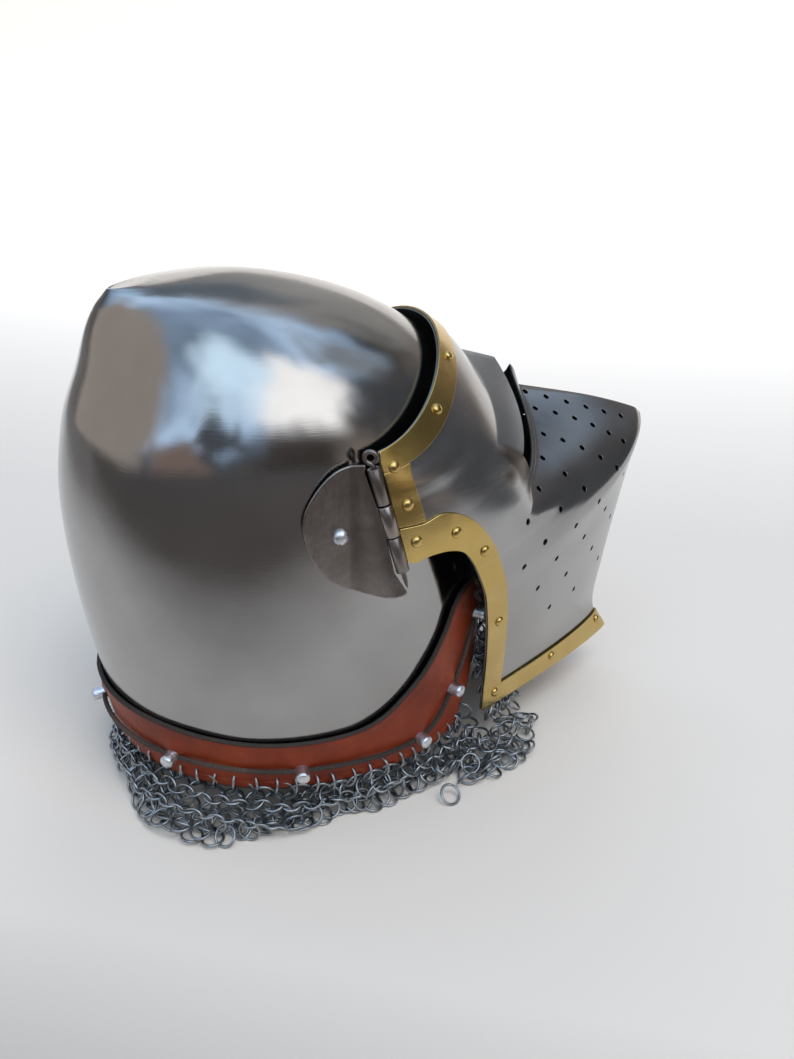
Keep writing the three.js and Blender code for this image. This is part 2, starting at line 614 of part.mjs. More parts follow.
function makeMail() {
  const rings = Array.from({ length: MAIL_STEPS }, (_, i) => {
    const angle = 360 * i / MAIL_STEPS;
    const folded = Math.abs(((angle + 180) % 360) - 180);
    const [, topRadius, topTable, footRadius] = mailRow(angle);
    const out = new THREE.Vector3(-Math.sin(angle * DEGREE), -Math.cos(angle * DEGREE), 0);
    const underBand = bandBottomZ(out.y * topRadius) - 0.6;
    const topZ = folded > BAND_END ? underBand : topTable;
    const swell = 2.2 * Math.sin(angle * DEGREE * 11);
    const foot = footRadius + swell;
    const half = MAIL_WALL / 2;
    const at = (radius, z) => out.clone().multiplyScalar(radius).setZ(z);
    const shoulder = Math.min(topZ - 1.5, -156.5);
    return [at(topRadius + half, topZ), at(topRadius + half + 0.5, shoulder), at(foot - 0.5, shoulder - 9),
      at(foot, FLOOR + 5), at(foot - 4, FLOOR), at(foot - 20, FLOOR), at(foot - 17, FLOOR + 10),
      at(topRadius - half, topZ)];
  });
  const count = rings[0].length;
  const faces = [];
  for (let i = 0; i < MAIL_STEPS; i++) {
    const next = (i + 1) % MAIL_STEPS;
    for (let j = 0; j < count; j++) {
      const k = (j + 1) % count;
      faces.push([i * count + j, next * count + j, next * count + k], [i * count + j, next * count + k, i * count + k]);
    }
  }
  const points = rings.flat();
  const solid = solidFrom(points, faces);
  return solid.volume() < 0 ? solidFrom(points, faces.map(([a, b, c]) => [a, c, b])) : solid;
}

// A small dark knob stands on the left wall of the snout near the prow.
function makeKnob() {
  const { at, normal } = seatOn(visorPoint, LOWER_LIP, -229, -50, 0.35, 80 * DEGREE);
  const profile = [[0, 0], [3.6, 0], [3.6, 1.2], [2.2, 1.8], [2.2, 4.2], [3.4, 5], [3.1, 6.6], [0, 7.2]];
  return mirrored(turned(profile, 10, at, normal));
}

function addPair(name, solid, look) {
  addPiece(`${name}_right`, solid, look);
  addPiece(`${name}_left`, mirrored(solid), look);
}

const skull = makeSkull();
const band = makeBand();
addPiece('skull', skull, STEEL);
addPiece('visor', makeVisor(), STEEL);
addPiece('brow_trim', makeBrowTrim(), BRASS);
addPiece('chin_trim', makeChinTrim(), BRASS);
addPair('side_trim', makeSideTrim(), BRASS);
addPair('hinge_strap', makeStrap(), BRASS);
addPair('pivot_plate', makePlate(), DARK_STEEL);
addPair('hinge_leaf', makeLeaf(), DARK_STEEL);
addPair('hinge_pin', makePin(), DARK_STEEL);
addPair('pivot_rivet', makePivotRivet(), ALUMINIUM);
const domeSeat = BRASS_OUT + 0.3;
const dome = (y, z) => makeDome(visorPoint, BROW, y, z, domeSeat, 88 * DEGREE);
BROW_RIVETS.forEach(([y, z], i) => addPair(`brow_rivet_${i + 1}`, dome(y, z), BRASS));
addPair('strap_rivet', dome(...STRAP_RIVET), BRASS);
SIDE_RIVETS.forEach(([y, z], i) => addPair(`side_rivet_${i + 1}`, dome(y, z), BRASS));
CHIN_RIVETS.forEach(([y, z], i) => addPair(`chin_rivet_${i + 1}`, dome(y, z), BRASS));
addPiece('prow_knob', makeKnob(), DARK_STEEL);
addPiece('leather_band', band, LEATHER);
addPiece('lace', makeLace(), LACE);
VERVELLES.forEach(([y, z], i) => {
  const nape = i === VERVELLES.length - 1;
  const stud = makeVervelle(y, z, nape).subtract(laceTunnel);
  if (nape) addPiece('vervelle_nape', stud, ALUMINIUM);
  else addPair(`vervelle_${i + 1}`, stud, ALUMINIUM);
});
addPiece('mail_aventail', makeMail(), MAIL);

// Stand the helmet on the surface, centred over it.
const box = new THREE.Box3().setFromObject(pieces);
pieces.position.set(0, -(box.min.y + box.max.y) / 2, -box.min.z);
const helmet = new THREE.Group();
helmet.add(pieces);

export default helmet;
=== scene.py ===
"""Visored bascinet: fine surfaces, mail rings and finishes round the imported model.

Lengths are millimetres in the frame of the visor's pivot axis and become metres in add_mesh.
"""
import json
import math

import bpy
import numpy as np
from mathutils import Matrix, Vector


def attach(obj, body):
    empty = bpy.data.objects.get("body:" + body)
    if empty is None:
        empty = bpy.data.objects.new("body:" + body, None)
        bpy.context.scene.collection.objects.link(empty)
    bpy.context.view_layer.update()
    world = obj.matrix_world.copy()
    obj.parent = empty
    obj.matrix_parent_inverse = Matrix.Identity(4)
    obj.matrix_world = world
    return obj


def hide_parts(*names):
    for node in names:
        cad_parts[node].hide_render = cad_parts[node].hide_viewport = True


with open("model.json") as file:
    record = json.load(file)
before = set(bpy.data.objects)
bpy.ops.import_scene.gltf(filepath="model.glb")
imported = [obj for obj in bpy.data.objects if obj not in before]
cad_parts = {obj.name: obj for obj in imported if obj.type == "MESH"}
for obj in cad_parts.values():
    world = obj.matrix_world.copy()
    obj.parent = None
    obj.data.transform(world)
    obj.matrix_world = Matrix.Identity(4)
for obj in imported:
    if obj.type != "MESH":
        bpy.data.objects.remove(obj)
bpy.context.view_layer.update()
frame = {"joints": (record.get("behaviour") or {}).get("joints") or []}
LIFT = next(j for j in frame["joints"] if j["name"] == "visor_lift")
PIVOT = np.array(LIFT["pos_m"]) * 1000
FLOOR = -PIVOT[2]

# Section tables, as in the part's source.
# Skull: front y, front z, rear y, rear z, half width, power along the length, power across.
SKULL_SECTIONS = np.array([
    [-114, -158, 116, -158, 101, 2.2, 1.95],
    [-116, -125, 123, -120, 104.5, 2.2, 1.95],
    [-117, -65, 131.5, -62, 108.5, 2.2, 1.95],
    [-112, -5, 134, -5, 110, 2.15, 1.95],
    [-102, 40, 127.5, 38, 107, 2.1, 1.95],
    [-86, 73, 117, 66, 95.5, 2.0, 1.9],
    [-58, 94, 110, 86, 79, 1.9, 1.87],
    [-20, 108.5, 104, 97.5, 60, 1.85, 1.8],
    [26, 116, 99, 103.5, 38, 1.8, 1.7],
    [66, 113, 96.3, 106.5, 17, 1.7, 1.55],
    [94.3, 106.8, 95.1, 106.5, 0.4, 1.6, 1.4],
])
# Visor: middle y, middle z, cheek y, cheek z, half width, roundness, droop.
VISOR_SECTIONS = np.array([
    [-236, -150, -12.4, -153, 107, 1.13, 1.4],
    [-224.5, -128, -12.4, -132, 108, 1.2, 1.4],
    [-227.5, -90, -12.4, -106, 110, 1.3, 1.35],
    [-234, -38, -12.4, -80, 112.5, 1.4, 1.2],
    [-238.8, -3, -12.4, -66, 114.5, 1.45, 1.12],
    [-242.3, 17, -12.4, -60, 115.5, 1.49, 1.06],
    [-234, 21.5, -12.4, -52, 116, 1.54, 1.04],
    [-200, 31, -12.4, -37, 117, 1.74, 0.96],
    [-149, 41, -12.4, -20, 118.5, 2.15, 0.85],
    [-142.3, 54, -12.5, -13, 120, 2.37, 0.81],
    [-130, 59.5, -13, -2, 122, 2.66, 1.09],
    [-105.5, 66, -14, 10, 122.5, 3.2, 1.5],
    [-93, 79, -11, 26, 119.5, 2.4, 1.8],
    [-78, 89.8, -6.7, 42.5, 115.4, 2.03, 2.14],
])
SKULL_TOP = len(SKULL_SECTIONS) - 1
LOWER_LIP, UPPER_LIP, LIP_ROOT = 9, 10, 11
BROW = len(VISOR_SECTIONS) - 1
PROW_TIP = 5
VISOR_CREASES = (8, LIP_ROOT)
SLOT_END = math.radians(34)
CREASE_FADE = 20
CHIN_TRIM_TOP = 0.72
BROW_TRIM_LOW = 12.42
STEEL_WALL, VISOR_WALL, BRASS_WALL, LEATHER_WALL = 1.6, 1.3, 1.1, 2.6
LEATHER_OUT = LEATHER_WALL + 0.35
RIM_STEPS = 4

# Outlines seen from the side, as y and z.
FACE_EDGE = [[-96, 45], [-80, 36], [-75, 14], [-77, -12], [-83, -34], [-92, -50], [-97, -72], [-94, -110],
             [-88, -140], [-84, -170]]
BAND_TOP = [[135, -116], [119, -117], [85, -120], [43, -125], [0, -125], [-22, -120], [-40, -108], [-54, -94],
            [-65, -78], [-71, -64]]
BAND_FRONT = [[-77, -57.5], [-88.5, -56.5], [-98, -65], [-100.5, -80], [-98, -110], [-88.5, -140],
              [-85, -157]]
BAND_BOTTOM = [[-60, -158], [0, -158.5], [45, -157.5], [85, -155], [112, -153], [135, -152]]
RIM_BOTTOM = [[-120, -155.5], [0, -156], [45, -155], [85, -152.5], [112, -150.5], [140, -149]]
SIDE_EDGE = [[-33, -14.5], [-38, -15.5], [-45, -13], [-57, -12.5], [-67.5, -17], [-78, -32], [-87.5, -52],
             [-93, -71], [-97, -91], [-102, -127], [-104, -165]]
SIDE_TRIM_TOP = [[-26, 4], [-41, 5], [-51, 8], [-62, 6], [-75, -3], [-88, -20], [-97, -38], [-105, -58],
                 [-111, -84], [-115, -110], [-117.5, -131], [-118, -165]]

BARREL_TOP = np.array([-116.6, -15.5, 36])
BARREL_BOTTOM = np.array([-123, -29.5, -18])
BARREL_RADIUS, PIN_RADIUS = 3.5, 1.25
PLATE_X, PLATE_WALL = 110.9, 1.6
PLATE_ROUND = [[-11, 37.5], [2, 33.5], [12.5, 23], [18.5, 9], [15, -9], [6, -23], [-7, -30.5], [-21, -32.5],
               [-31.5, -30]]
VERVELLES = [[-92, -80], [-73, -120], [-50, -142.5], [21, -143], [86, -138], [120, -139]]
LACE_END = [-93, -70]
LACE_RADIUS = 1.35
BROW_RIVETS = [[-25.5, 35.5], [-55, 55.6], [-74, 74.4]]
STRAP_RIVET = [-32, 16.5]
SIDE_RIVETS = [[-37, -3.5], [-60, -3], [-80, -19], [-103, -78]]
CHIN_RIVETS = [[-113, -142], [-169, -142], [-225, -141]]
# Breath holes: first y, first z, last y, last z, bow y, bow z, count.
HOLE_ROWS = [
    [-152, 37, -221, 18, -1, 0, 6], [-154, 29, -214, 6, -3, 2, 6], [-151, 18, -214, -15, 0, 4, 6],
    [-142, 9, -213, -48, 3, 4, 6], [-130, -2, -211, -82, 3, 4, 6], [-114, -13, -182, -92, 0, 2, 5],
    [-116, -43, -155, -93, 0, 0, 3],
]
HOLE_RADIUS, HOLE_SIDES = 2.05, 20


# Surfaces

def catmull_rows(rows, t, creases=()):
    """Rows between rows; the curve may turn sharply at a crease."""
    last = len(rows) - 1
    t = np.asarray(t, float)
    i = np.clip(np.floor(t).astype(int), 0, last - 1)
    f = (t - i)[..., None]
    p1, p2 = rows[i], rows[i + 1]
    starts, ends = np.isin(i, [0, *creases]), np.isin(i + 1, [last, *creases])
    p0 = np.where(starts[..., None], 2 * p1 - p2, rows[np.maximum(i - 1, 0)])
    p3 = np.where(ends[..., None], 2 * p2 - p1, rows[np.minimum(i + 2, last)])
    return 0.5 * (2 * p1 + (p2 - p0) * f + (2 * p0 - 5 * p1 + 4 * p2 - p3) * f ** 2
                  + (3 * p1 - p0 - 3 * p2 + p3) * f ** 3)


def signed_power(value, power):
    return np.sign(value) * np.abs(value) ** power


def unit(v):
    return v / np.maximum(np.linalg.norm(v, axis=-1, keepdims=True), 1e-9)


def ease(f):
    f = np.clip(f, 0, 1)
    return f * f * (3 - 2 * f)


def bell(x, width):
    return np.exp(-(x / width) ** 2)


def nearest(points, others):
    """Each point's distance to the nearest of the others."""
    return np.linalg.norm(points[:, None] - others[None], axis=-1).min(1)


def skull_points(t, a):
    k = np.moveaxis(catmull_rows(SKULL_SECTIONS, t), -1, 0)
    forward = signed_power(np.cos(a), 2 / k[5])
    sideways = signed_power(np.sin(a), 2 / k[6])
    y = (k[0] + k[2]) / 2 + forward * (k[0] - k[2]) / 2
    z = (k[1] + k[3]) / 2 + forward * (k[1] - k[3]) / 2
    return np.stack([-k[4] * sideways, y, z], -1)


def blurred_rows(rows, t, low, high, spread):
    """The rows averaged over a spread of t that grows from nothing at low and high."""
    reach = spread * ease(np.minimum(t - low, high - t) / 1.8)
    return sum(catmull_rows(rows, t + reach * shift) for shift in (-1, -0.5, 0, 0.5, 1)) / 5


def visor_points(t, a):
    """The visor's outer face. Its creases fade away from the middle: the cheeks are one smooth sheet."""
    t, a = np.broadcast_arrays(np.asarray(t, float), np.asarray(a, float))
    turn = np.degrees(np.abs(a))[..., None]
    plain = catmull_rows(VISOR_SECTIONS, t)
    bent = catmull_rows(VISOR_SECTIONS, t, VISOR_CREASES)
    firm = catmull_rows(VISOR_SECTIONS, t, (PROW_TIP, *VISOR_CREASES))
    creased = ease((math.degrees(SLOT_END) + CREASE_FADE - turn) / CREASE_FADE)
    k = plain + (bent - plain) * creased + (firm - bent) * bell(turn, 22)
    k += (blurred_rows(VISOR_SECTIONS, t, 2.5, 7.3, 0.9) - plain) * (1 - bell(turn, 30))
    k += (blurred_rows(VISOR_SECTIONS, t, 5.8, 12.9, 1.9) - plain) * (1 - creased)
    k = np.moveaxis(k, -1, 0)
    forward = np.maximum(np.cos(a), 0) ** (2 / k[5])
    sideways = signed_power(np.sin(a), 2 / k[5])
    y = k[2] + (k[0] - k[2]) * forward
    z = k[1] + (k[3] - k[1]) * np.abs(sideways) ** k[6]
    return np.stack([-k[4] * sideways, y, z], -1)


class Surface:
    """A shell's outer face. Its t runs up the sections, and its angle goes round from the front."""

    def __init__(self, points, top):
        self.points, self.top = points, top

    def normals(self, t, a, step=0.012):
        up = self.points(np.minimum(t + step, self.top), a) - self.points(np.maximum(t - step, 0), a)
        return unit(np.cross(up, self.points(t, a + step) - self.points(t, a - step)))

    def offset(self, t, a, distance):
        return self.points(t, a) + self.normals(t, a) * distance

    def find(self, y, z, top, widest):
        """The t and angle where a place seen from the side lies on the right half."""
        t, a, dt, da = top / 2, widest / 2, top / 2, widest / 2
        for _ in range(8):
            ts = np.linspace(max(t - dt, 0), min(t + dt, top), 25)
            angles = np.linspace(max(a - da, 0.001), min(a + da, widest), 25)
            p = self.points(*np.meshgrid(ts, angles, indexing="ij"))
            miss = np.hypot(p[..., 1] - y, p[..., 2] - z)
            i, j = np.unravel_index(miss.argmin(), miss.shape)
            t, a, dt, da = ts[i], angles[j], dt / 6, da / 6
        return t, a

    def seat(self, y, z, distance, top, widest):
        """A point over a place seen from the side, and the way out there."""
        t, a = self.find(y, z, top, widest)
        return self.offset(t, a, distance), self.normals(t, a)


SKULL, VISOR = Surface(skull_points, SKULL_TOP), Surface(visor_points, BROW)


def spline(points, steps):
    """Points along a smooth curve through the given ones."""
    rows = np.array(points, float)
    return catmull_rows(rows, np.linspace(0, len(rows) - 1, steps))


def inside_polygon(p, outline):
    """Distance to a closed outline seen from the side, positive inside."""
    q = p[..., 1:3].reshape(-1, 1, 2)
    a = np.asarray(outline, float)[None]
    b = np.roll(a, -1, axis=1)
    along = b - a
    f = np.clip(((q - a) * along).sum(-1) / np.maximum((along ** 2).sum(-1), 1e-12), 0, 1)
    distance = np.linalg.norm(q - a - along * f[..., None], axis=-1).min(1)
    straddle = (a[..., 1] > q[..., 1]) != (b[..., 1] > q[..., 1])
    rise = np.where(np.abs(along[..., 1]) < 1e-12, 1e-12, along[..., 1])
    crossing = q[..., 0] < a[..., 0] + along[..., 0] * (q[..., 1] - a[..., 1]) / rise
    odd = (straddle & crossing).sum(1) % 2 == 1
    return np.where(odd, distance, -distance).reshape(p.shape[:-1])


def within(*outlines):
    """A keep function for cut_sheet: how far a point lies inside every outline."""
    return lambda p: np.min([inside_polygon(p, outline) for outline in outlines], 0)


def dense(stops, step):
    """Values from the first stop to the last, with every stop kept."""
    out = [stops[0]]
    for low, high in zip(stops, stops[1:]):
        parts = max(1, round((high - low) / step))
        out.extend(low + (high - low) * n / parts for n in range(1, parts + 1))
    return out


# Meshes

def cut_sheet(ts, angles, surface, keep, closed=False, skip=None):
    """Grid of a surface, cut where keep turns negative. Gives t, angle and the faces."""
    ts, angles = np.asarray(ts, float), np.asarray(angles, float)
    rows, columns = len(ts), len(angles)
    t, a = (v.ravel() for v in np.meshgrid(ts, angles, indexing="ij"))
    value = keep(surface(t, a))
    value = np.where(np.abs(value) < 1e-6, 1e-6, value)
    wide = columns if closed else columns - 1
    i, j = (v.ravel() for v in np.meshgrid(np.arange(rows - 1), np.arange(wide), indexing="ij"))
    k = (j + 1) % columns
    cells = np.stack([i * columns + j, i * columns + k, (i + 1) * columns + k, (i + 1) * columns + j], 1)
    if skip is not None:
        cells = cells[~skip(ts[i], angles[j], ts[i + 1], angles[k])]
    inside = value[cells] > 0
    full = cells[inside.all(1)]
    part = cells[inside.any(1) & ~inside.all(1)]
    edges = np.sort(np.concatenate([part[:, [m, (m + 1) % 4]] for m in range(4)]), 1)
    edges = np.unique(edges[(value[edges[:, 0]] > 0) != (value[edges[:, 1]] > 0)], axis=0)
    p, q = edges[:, 0], edges[:, 1]
    turn = np.where(a[q] - a[p] > math.pi, -2 * math.pi, np.where(a[p] - a[q] > math.pi, 2 * math.pi, 0))
    low, high = np.zeros(len(p)), np.ones(len(p))
    low_value, high_value = value[p].copy(), value[q].copy()
    for _ in range(6):
        f = low + (high - low) * low_value / (low_value - high_value)
        tt, aa = t[p] + (t[q] - t[p]) * f, a[p] + (a[q] + turn - a[p]) * f
        v = keep(surface(tt, aa))
        same = (v > 0) == (low_value > 0)
        low, low_value = np.where(same, f, low), np.where(same, v, low_value)
        high, high_value = np.where(same, high, f), np.where(same, high_value, v)
        low_value = np.where(np.abs(low_value) < 1e-9, np.sign(low_value) * 1e-9 + 1e-12, low_value)
    at = {(int(m), int(n)): len(t) + c for c, (m, n) in enumerate(edges)}
    t, a = np.concatenate([t, tt]), np.concatenate([a, aa])
    faces = [tuple(c) for c in full.tolist()]
    for cell in part.tolist():
        polygon = []
        for m in range(4):
            here, there = cell[m], cell[(m + 1) % 4]
            if value[here] > 0:
                polygon.append(here)
            if (value[here] > 0) != (value[there] > 0):
                polygon.append(at[(min(here, there), max(here, there))])
        if len(polygon) > 2:
            faces.append(tuple(polygon))
    return compact(t, a, faces)


def compact(t, a, faces):
    used = np.unique(np.concatenate([np.array(f) for f in faces]))
    new = np.full(len(t), -1)
    new[used] = np.arange(len(used))
    return t[used], a[used], [tuple(new[list(f)].tolist()) for f in faces]


def boundary(faces):
    """Directed edges that only one face has."""
    seen = dict.fromkeys((f[m], f[(m + 1) % len(f)]) for f in faces for m in range(len(f)))
    return [edge for edge in seen if edge[::-1] not in seen]


def walled(points, normals, faces, thick, share=0.8):
    """A closed wall under a sheet, its rim rounded by a share of a half circle.

    Gives points, faces, each face's group (outside, inside, rim) and the corners' normals.
    """
    count = len(points)
    f = faces[0]
    if np.cross(points[f[1]] - points[f[0]], points[f[2]] - points[f[0]]) @ normals[f[0]] <= 0:
        faces = [f[::-1] for f in faces]
    rim = boundary(faces)
    ends = sorted({v for e in rim for v in e})
    place = {v: n for n, v in enumerate(ends)}
    along = np.zeros((len(ends), 3))
    for m, n in rim:
        step = unit(points[n] - points[m])
        along[place[m]] += step
        along[place[n]] += step
    edge, up = points[ends], normals[ends]
    out = unit(np.cross(unit(along), up))
    bulge = np.broadcast_to(share, count)[ends][:, None]
    rings, looks = [], []
    for turn in np.linspace(0, math.pi, RIM_STEPS + 1):
        rings.append(edge - up * thick / 2 * (1 - math.cos(turn)) + out * thick / 2 * bulge * math.sin(turn))
        looks.append(up * math.cos(turn) + out * math.sin(turn))
    between = 2 * count + np.arange((RIM_STEPS - 1) * len(ends)).reshape(-1, len(ends))
    numbers = [ends, *between.tolist(), [count + v for v in ends]]
    all_faces = faces + [tuple(count + v for v in f[::-1]) for f in faces]
    shading = [normals[list(f)] for f in faces] + [-normals[list(f[::-1])] for f in faces]
    for m, n in rim:
        m, n = place[m], place[n]
        for low, high, here, there in zip(numbers, numbers[1:], looks, looks[1:]):
            all_faces.append((low[n], low[m], high[m], high[n]))
            shading.append([here[n], here[m], there[m], there[n]])
    group = [0] * len(faces) + [1] * len(faces) + [2] * (RIM_STEPS * len(rim))
    all_points = np.concatenate([points, points - normals * thick, *rings[1:-1]])
    return all_points, all_faces, np.array(group, np.int32), np.concatenate(shading)


def on_wall(value, points, rim):
    """A sheet's values for the points of its wall, with one value for the rim."""
    return np.concatenate([value, value, np.full(len(points) - 2 * len(value), float(rim))])


def add_object(name, data):
    made = bpy.data.objects.new(name, data)
    bpy.context.scene.collection.objects.link(made)
    return made


def smooth_mesh(name, points, faces, materials):
    mesh = bpy.data.meshes.new(name)
    mesh.from_pydata(points, [], faces)
    for material in materials:
        mesh.materials.append(material)
    mesh.polygons.foreach_set("use_smooth", [True] * len(mesh.polygons))
    return mesh


def add_mesh(name, points, faces, materials, body, slot, node, shading=None, group=None, **values):
    """A piece that replaces a node. Values become attributes of its points."""
    mesh = smooth_mesh(name, ((points + PIVOT) / 1000).tolist(), faces, materials)
    if group is not None:
        mesh.polygons.foreach_set("material_index", group)
    for key, value in values.items():
        mesh.attributes.new(key, "FLOAT", "POINT").data.foreach_set("value", value.astype(np.float32))
    mesh.update()
    if shading is not None:
        mesh.normals_split_custom_set(shading.tolist())
    piece = add_object(name, mesh)
    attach(piece, body)
    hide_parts(node)


def mirror(points, faces):
    return points * [-1, 1, 1], [f[::-1] for f in faces]


def add_pair(name, points, faces, material, body, slot, node):
    """The right piece and its mirror image. The side's word goes in at {}."""
    for word in ("right", "left"):
        add_mesh(name.format(word), points, faces, [material], body.format(word), slot, node.format(word))
        points, faces = mirror(points, faces)


def square_to(axis):
    """A direction at right angles to an axis."""
    start = np.array([0, 0, 1.0]) if abs(axis[2]) < 0.9 else np.array([1.0, 0, 0])
    return unit(np.cross(axis, start))


def spokes(side, up, count, spin=0.0):
    """Directions all round, from side towards up."""
    turn = spin + np.arange(count) * 2 * math.pi / count
    return side[..., None, :] * np.cos(turn)[:, None] + up[..., None, :] * np.sin(turn)[:, None]


def ring_faces(rings, sides, closed=False):
    """Quads from each ring of points to the next, and from the last to the first if closed."""
    faces = []
    for n in range(rings if closed else rings - 1):
        m = (n + 1) % rings
        for s in range(sides):
            e = (s + 1) % sides
            faces.append((n * sides + s, n * sides + e, m * sides + e, m * sides + s))
    return faces


def frames_along(path, closed=False):
    """Two side directions along a path, turned as little as possible."""
    tangent = unit(np.roll(path, -1, 0) - np.roll(path, 1, 0) if closed else np.gradient(path, axis=0))
    side = np.zeros_like(path)
    current = square_to(tangent[0])
    for n in range(len(path)):
        current = unit(current - tangent[n] * (current @ tangent[n]))
        side[n] = current
    return side, np.cross(tangent, side)


def tube(path, radius, sides, closed=False):
    """A round tube; its radius may vary along it."""
    count = len(path)
    ring = spokes(*frames_along(path, closed), sides)
    points = path[:, None] + ring * np.broadcast_to(radius, count)[:, None, None]
    faces = ring_faces(count, sides, closed)
    if not closed:
        faces += [tuple(range(sides))[::-1], tuple(range((count - 1) * sides, count * sides))]
    return points.reshape(-1, 3), faces


def lathe(profile, sides, at, axis):
    """Profile rows are radius and height; it starts and ends on the axis."""
    side = square_to(axis)
    ring = spokes(side, np.cross(axis, side), sides)
    middle = [at + axis * height + ring * radius for radius, height in profile[1:-1]]
    points = np.concatenate([[at + axis * profile[0][1]], *middle, [at + axis * profile[-1][1]]])
    tip = len(points) - 1
    faces = [tuple(v + 1 for v in f) for f in ring_faces(len(middle), sides)]
    for s in range(sides):
        e = (s + 1) % sides
        faces += [(0, 1 + e, 1 + s), (tip - sides + s, tip - sides + e, tip)]
    return points, faces


def joined(parts):
    points, faces, base = [], [], 0
    for p, f in parts:
        points.append(p)
        faces.extend(tuple(v + base for v in face) for face in f)
        base += len(p)
    return np.concatenate(points), faces


# Materials

class Shader:
    """A small helper round the nodes of a material or of the world."""

    def __init__(self, name, owners=bpy.data.materials, surface="Principled BSDF", place="Object"):
        self.owner = owners.new(name)
        self.owner.use_nodes = True
        self.tree = self.owner.node_tree
        self.surface = self.tree.nodes[surface]
        self.place = self.node("ShaderNodeTexCoord").outputs[place]

    def put(self, socket, value):
        if isinstance(value, bpy.types.NodeSocket):
            self.tree.links.new(value, socket)
        else:
            socket.default_value = (*value, 1) if socket.type == "RGBA" else value

    def fill(self, node, inputs):
        for key, value in inputs.items():
            self.put(node.inputs[key.replace("_", " ")], value)

    def set(self, **inputs):
        self.fill(self.surface, inputs)

    def node(self, kind, **inputs):
        made = self.tree.nodes.new(kind)
        self.fill(made, inputs)
        return made

    def noise(self, scale, detail=2.0, rough=0.5, where=None):
        made = self.node("ShaderNodeTexNoise", Vector=where or self.place, Scale=scale, Detail=detail,
                         Roughness=rough)
        return made.outputs["Fac"]

    def grain(self, detail, scale, turn=(0, 0, 0), rough=0.6):
        """Noise with a scale for each axis: it runs along those with small ones."""
        where = self.node("ShaderNodeMapping", Vector=self.place, Scale=scale, Rotation=turn)
        return self.noise(1, detail, rough, where.outputs["Vector"])

    def ramp(self, value, *stops):
        """Each stop is a place from 0 to 1 and its colour."""
        made = self.node("ShaderNodeValToRGB", Fac=value)
        band = made.color_ramp
        while len(band.elements) < len(stops):
            band.elements.new(0.5)
        for element, (place, *colour) in zip(band.elements, stops):
            element.position = place
            element.color = (*colour, 1)
        return made.outputs["Color"]

    def span(self, value, low, high, to_low=0.0, to_high=1.0):
        """The value, moved from one range to another and kept inside it."""
        made = self.node("ShaderNodeMapRange", Value=value, From_Min=low, From_Max=high, To_Min=to_low,
                         To_Max=to_high)
        return made.outputs["Result"]

    def math(self, operation, *values, kind="ShaderNodeMath"):
        made = self.tree.nodes.new(kind)
        made.operation = operation
        for socket, value in zip(made.inputs, values):
            self.put(socket, value)
        return made.outputs["Value"]

    def toward(self, direction):
        """How far a place lies in a direction."""
        return self.math("DOT_PRODUCT", self.place, direction, kind="ShaderNodeVectorMath")

    def mix(self, factor, a, b):
        made = self.tree.nodes.new("ShaderNodeMix")
        made.data_type = "RGBA"
        for index, value in ((0, factor), (6, a), (7, b)):
            self.put(made.inputs[index], value)
        return made.outputs[2]

    def attribute(self, name):
        made = self.tree.nodes.new("ShaderNodeAttribute")
        made.attribute_name = name
        return made.outputs["Fac"]

    def finish(self, tone, metal, rough, *bumps, **others):
        """Gives the material. Bumps are height, strength and distance in metres, the coarsest first."""
        below = {}
        for height, strength, distance in bumps:
            made = self.node("ShaderNodeBump", Height=height, Strength=strength, Distance=distance, **below)
            below = {"Normal": made.outputs["Normal"]}
        self.set(Base_Color=tone, Metallic=metal, Roughness=rough, **below, **others)
        return self.owner


def polished_steel(name, satin):
    s = Shader(name)
    cloud = s.noise(14, 3, 0.55)
    brushed = s.grain(4, (60, 60, 2600), (0.35, 0.25, 0))
    crossed = s.grain(3, (1900, 90, 70), (0.2, 0.5, 0.3))
    tone = s.ramp(cloud, (0.3, 0.33, 0.322, 0.315), (0.7, 0.4, 0.395, 0.39))
    lip, scorch = s.attribute("lip"), s.attribute("scorch")
    # Painted shade: the slot's lips turn a dark bluish steel, standing in for the shade round the slot.
    tone = s.mix(s.span(lip, 0.2, 1.0, 0.0, 0.8), tone, (0.105, 0.125, 0.15))
    # Dark brown at the folds beside the slot's ends.
    tone = s.mix(s.span(scorch, 0.2, 0.8, 0.0, 0.9), tone, (0.105, 0.074, 0.054))
    # Rougher on the slot's lips and at the folds beside its ends.
    worn = s.math("ADD", s.span(lip, 0.2, 1.0, 0.0, 0.16), s.span(scorch, 0.25, 0.9, 0.0, 0.12))
    haze = s.math("ADD", s.span(cloud, 0.3, 0.75, 0.085 + satin, 0.165 + satin),
                  s.span(brushed, 0.3, 0.7, -0.03, 0.05))
    return s.finish(tone, 1.0, s.math("ADD", haze, worn), (s.noise(9), 0.35, 0.004),
                    (s.noise(38), 0.2, 0.0006), (brushed, 0.09, 0.0002), (crossed, 0.05, 0.0002))


# Near-black for the shells' inner faces, where it stands for black paint inside and for painted shade, and
# for the rims of the visor's openings, where it is painted shade.
def black_inside():
    s = Shader("black_inside")
    grain = s.noise(120, 4, 0.6)
    tone = s.ramp(grain, (0.3, 0.006, 0.006, 0.007), (0.8, 0.02, 0.019, 0.018))
    return s.finish(tone, 0.0, s.span(grain, 0.3, 0.8, 0.55, 0.8), (grain, 0.4, 0.0005))


def dark_steel():
    s = Shader("dark_steel")
    stain = s.noise(70, 5, 0.65)
    brushed = s.grain(3, (80, 80, 1500), (0.3, 0.2, 0))
    tone = s.ramp(stain, (0.3, 0.13, 0.105, 0.09), (0.55, 0.26, 0.23, 0.215), (0.8, 0.36, 0.34, 0.33))
    return s.finish(tone, 1.0, s.span(stain, 0.25, 0.8, 0.42, 0.24), (stain, 0.25, 0.0006),
                    (brushed, 0.12, 0.0002))


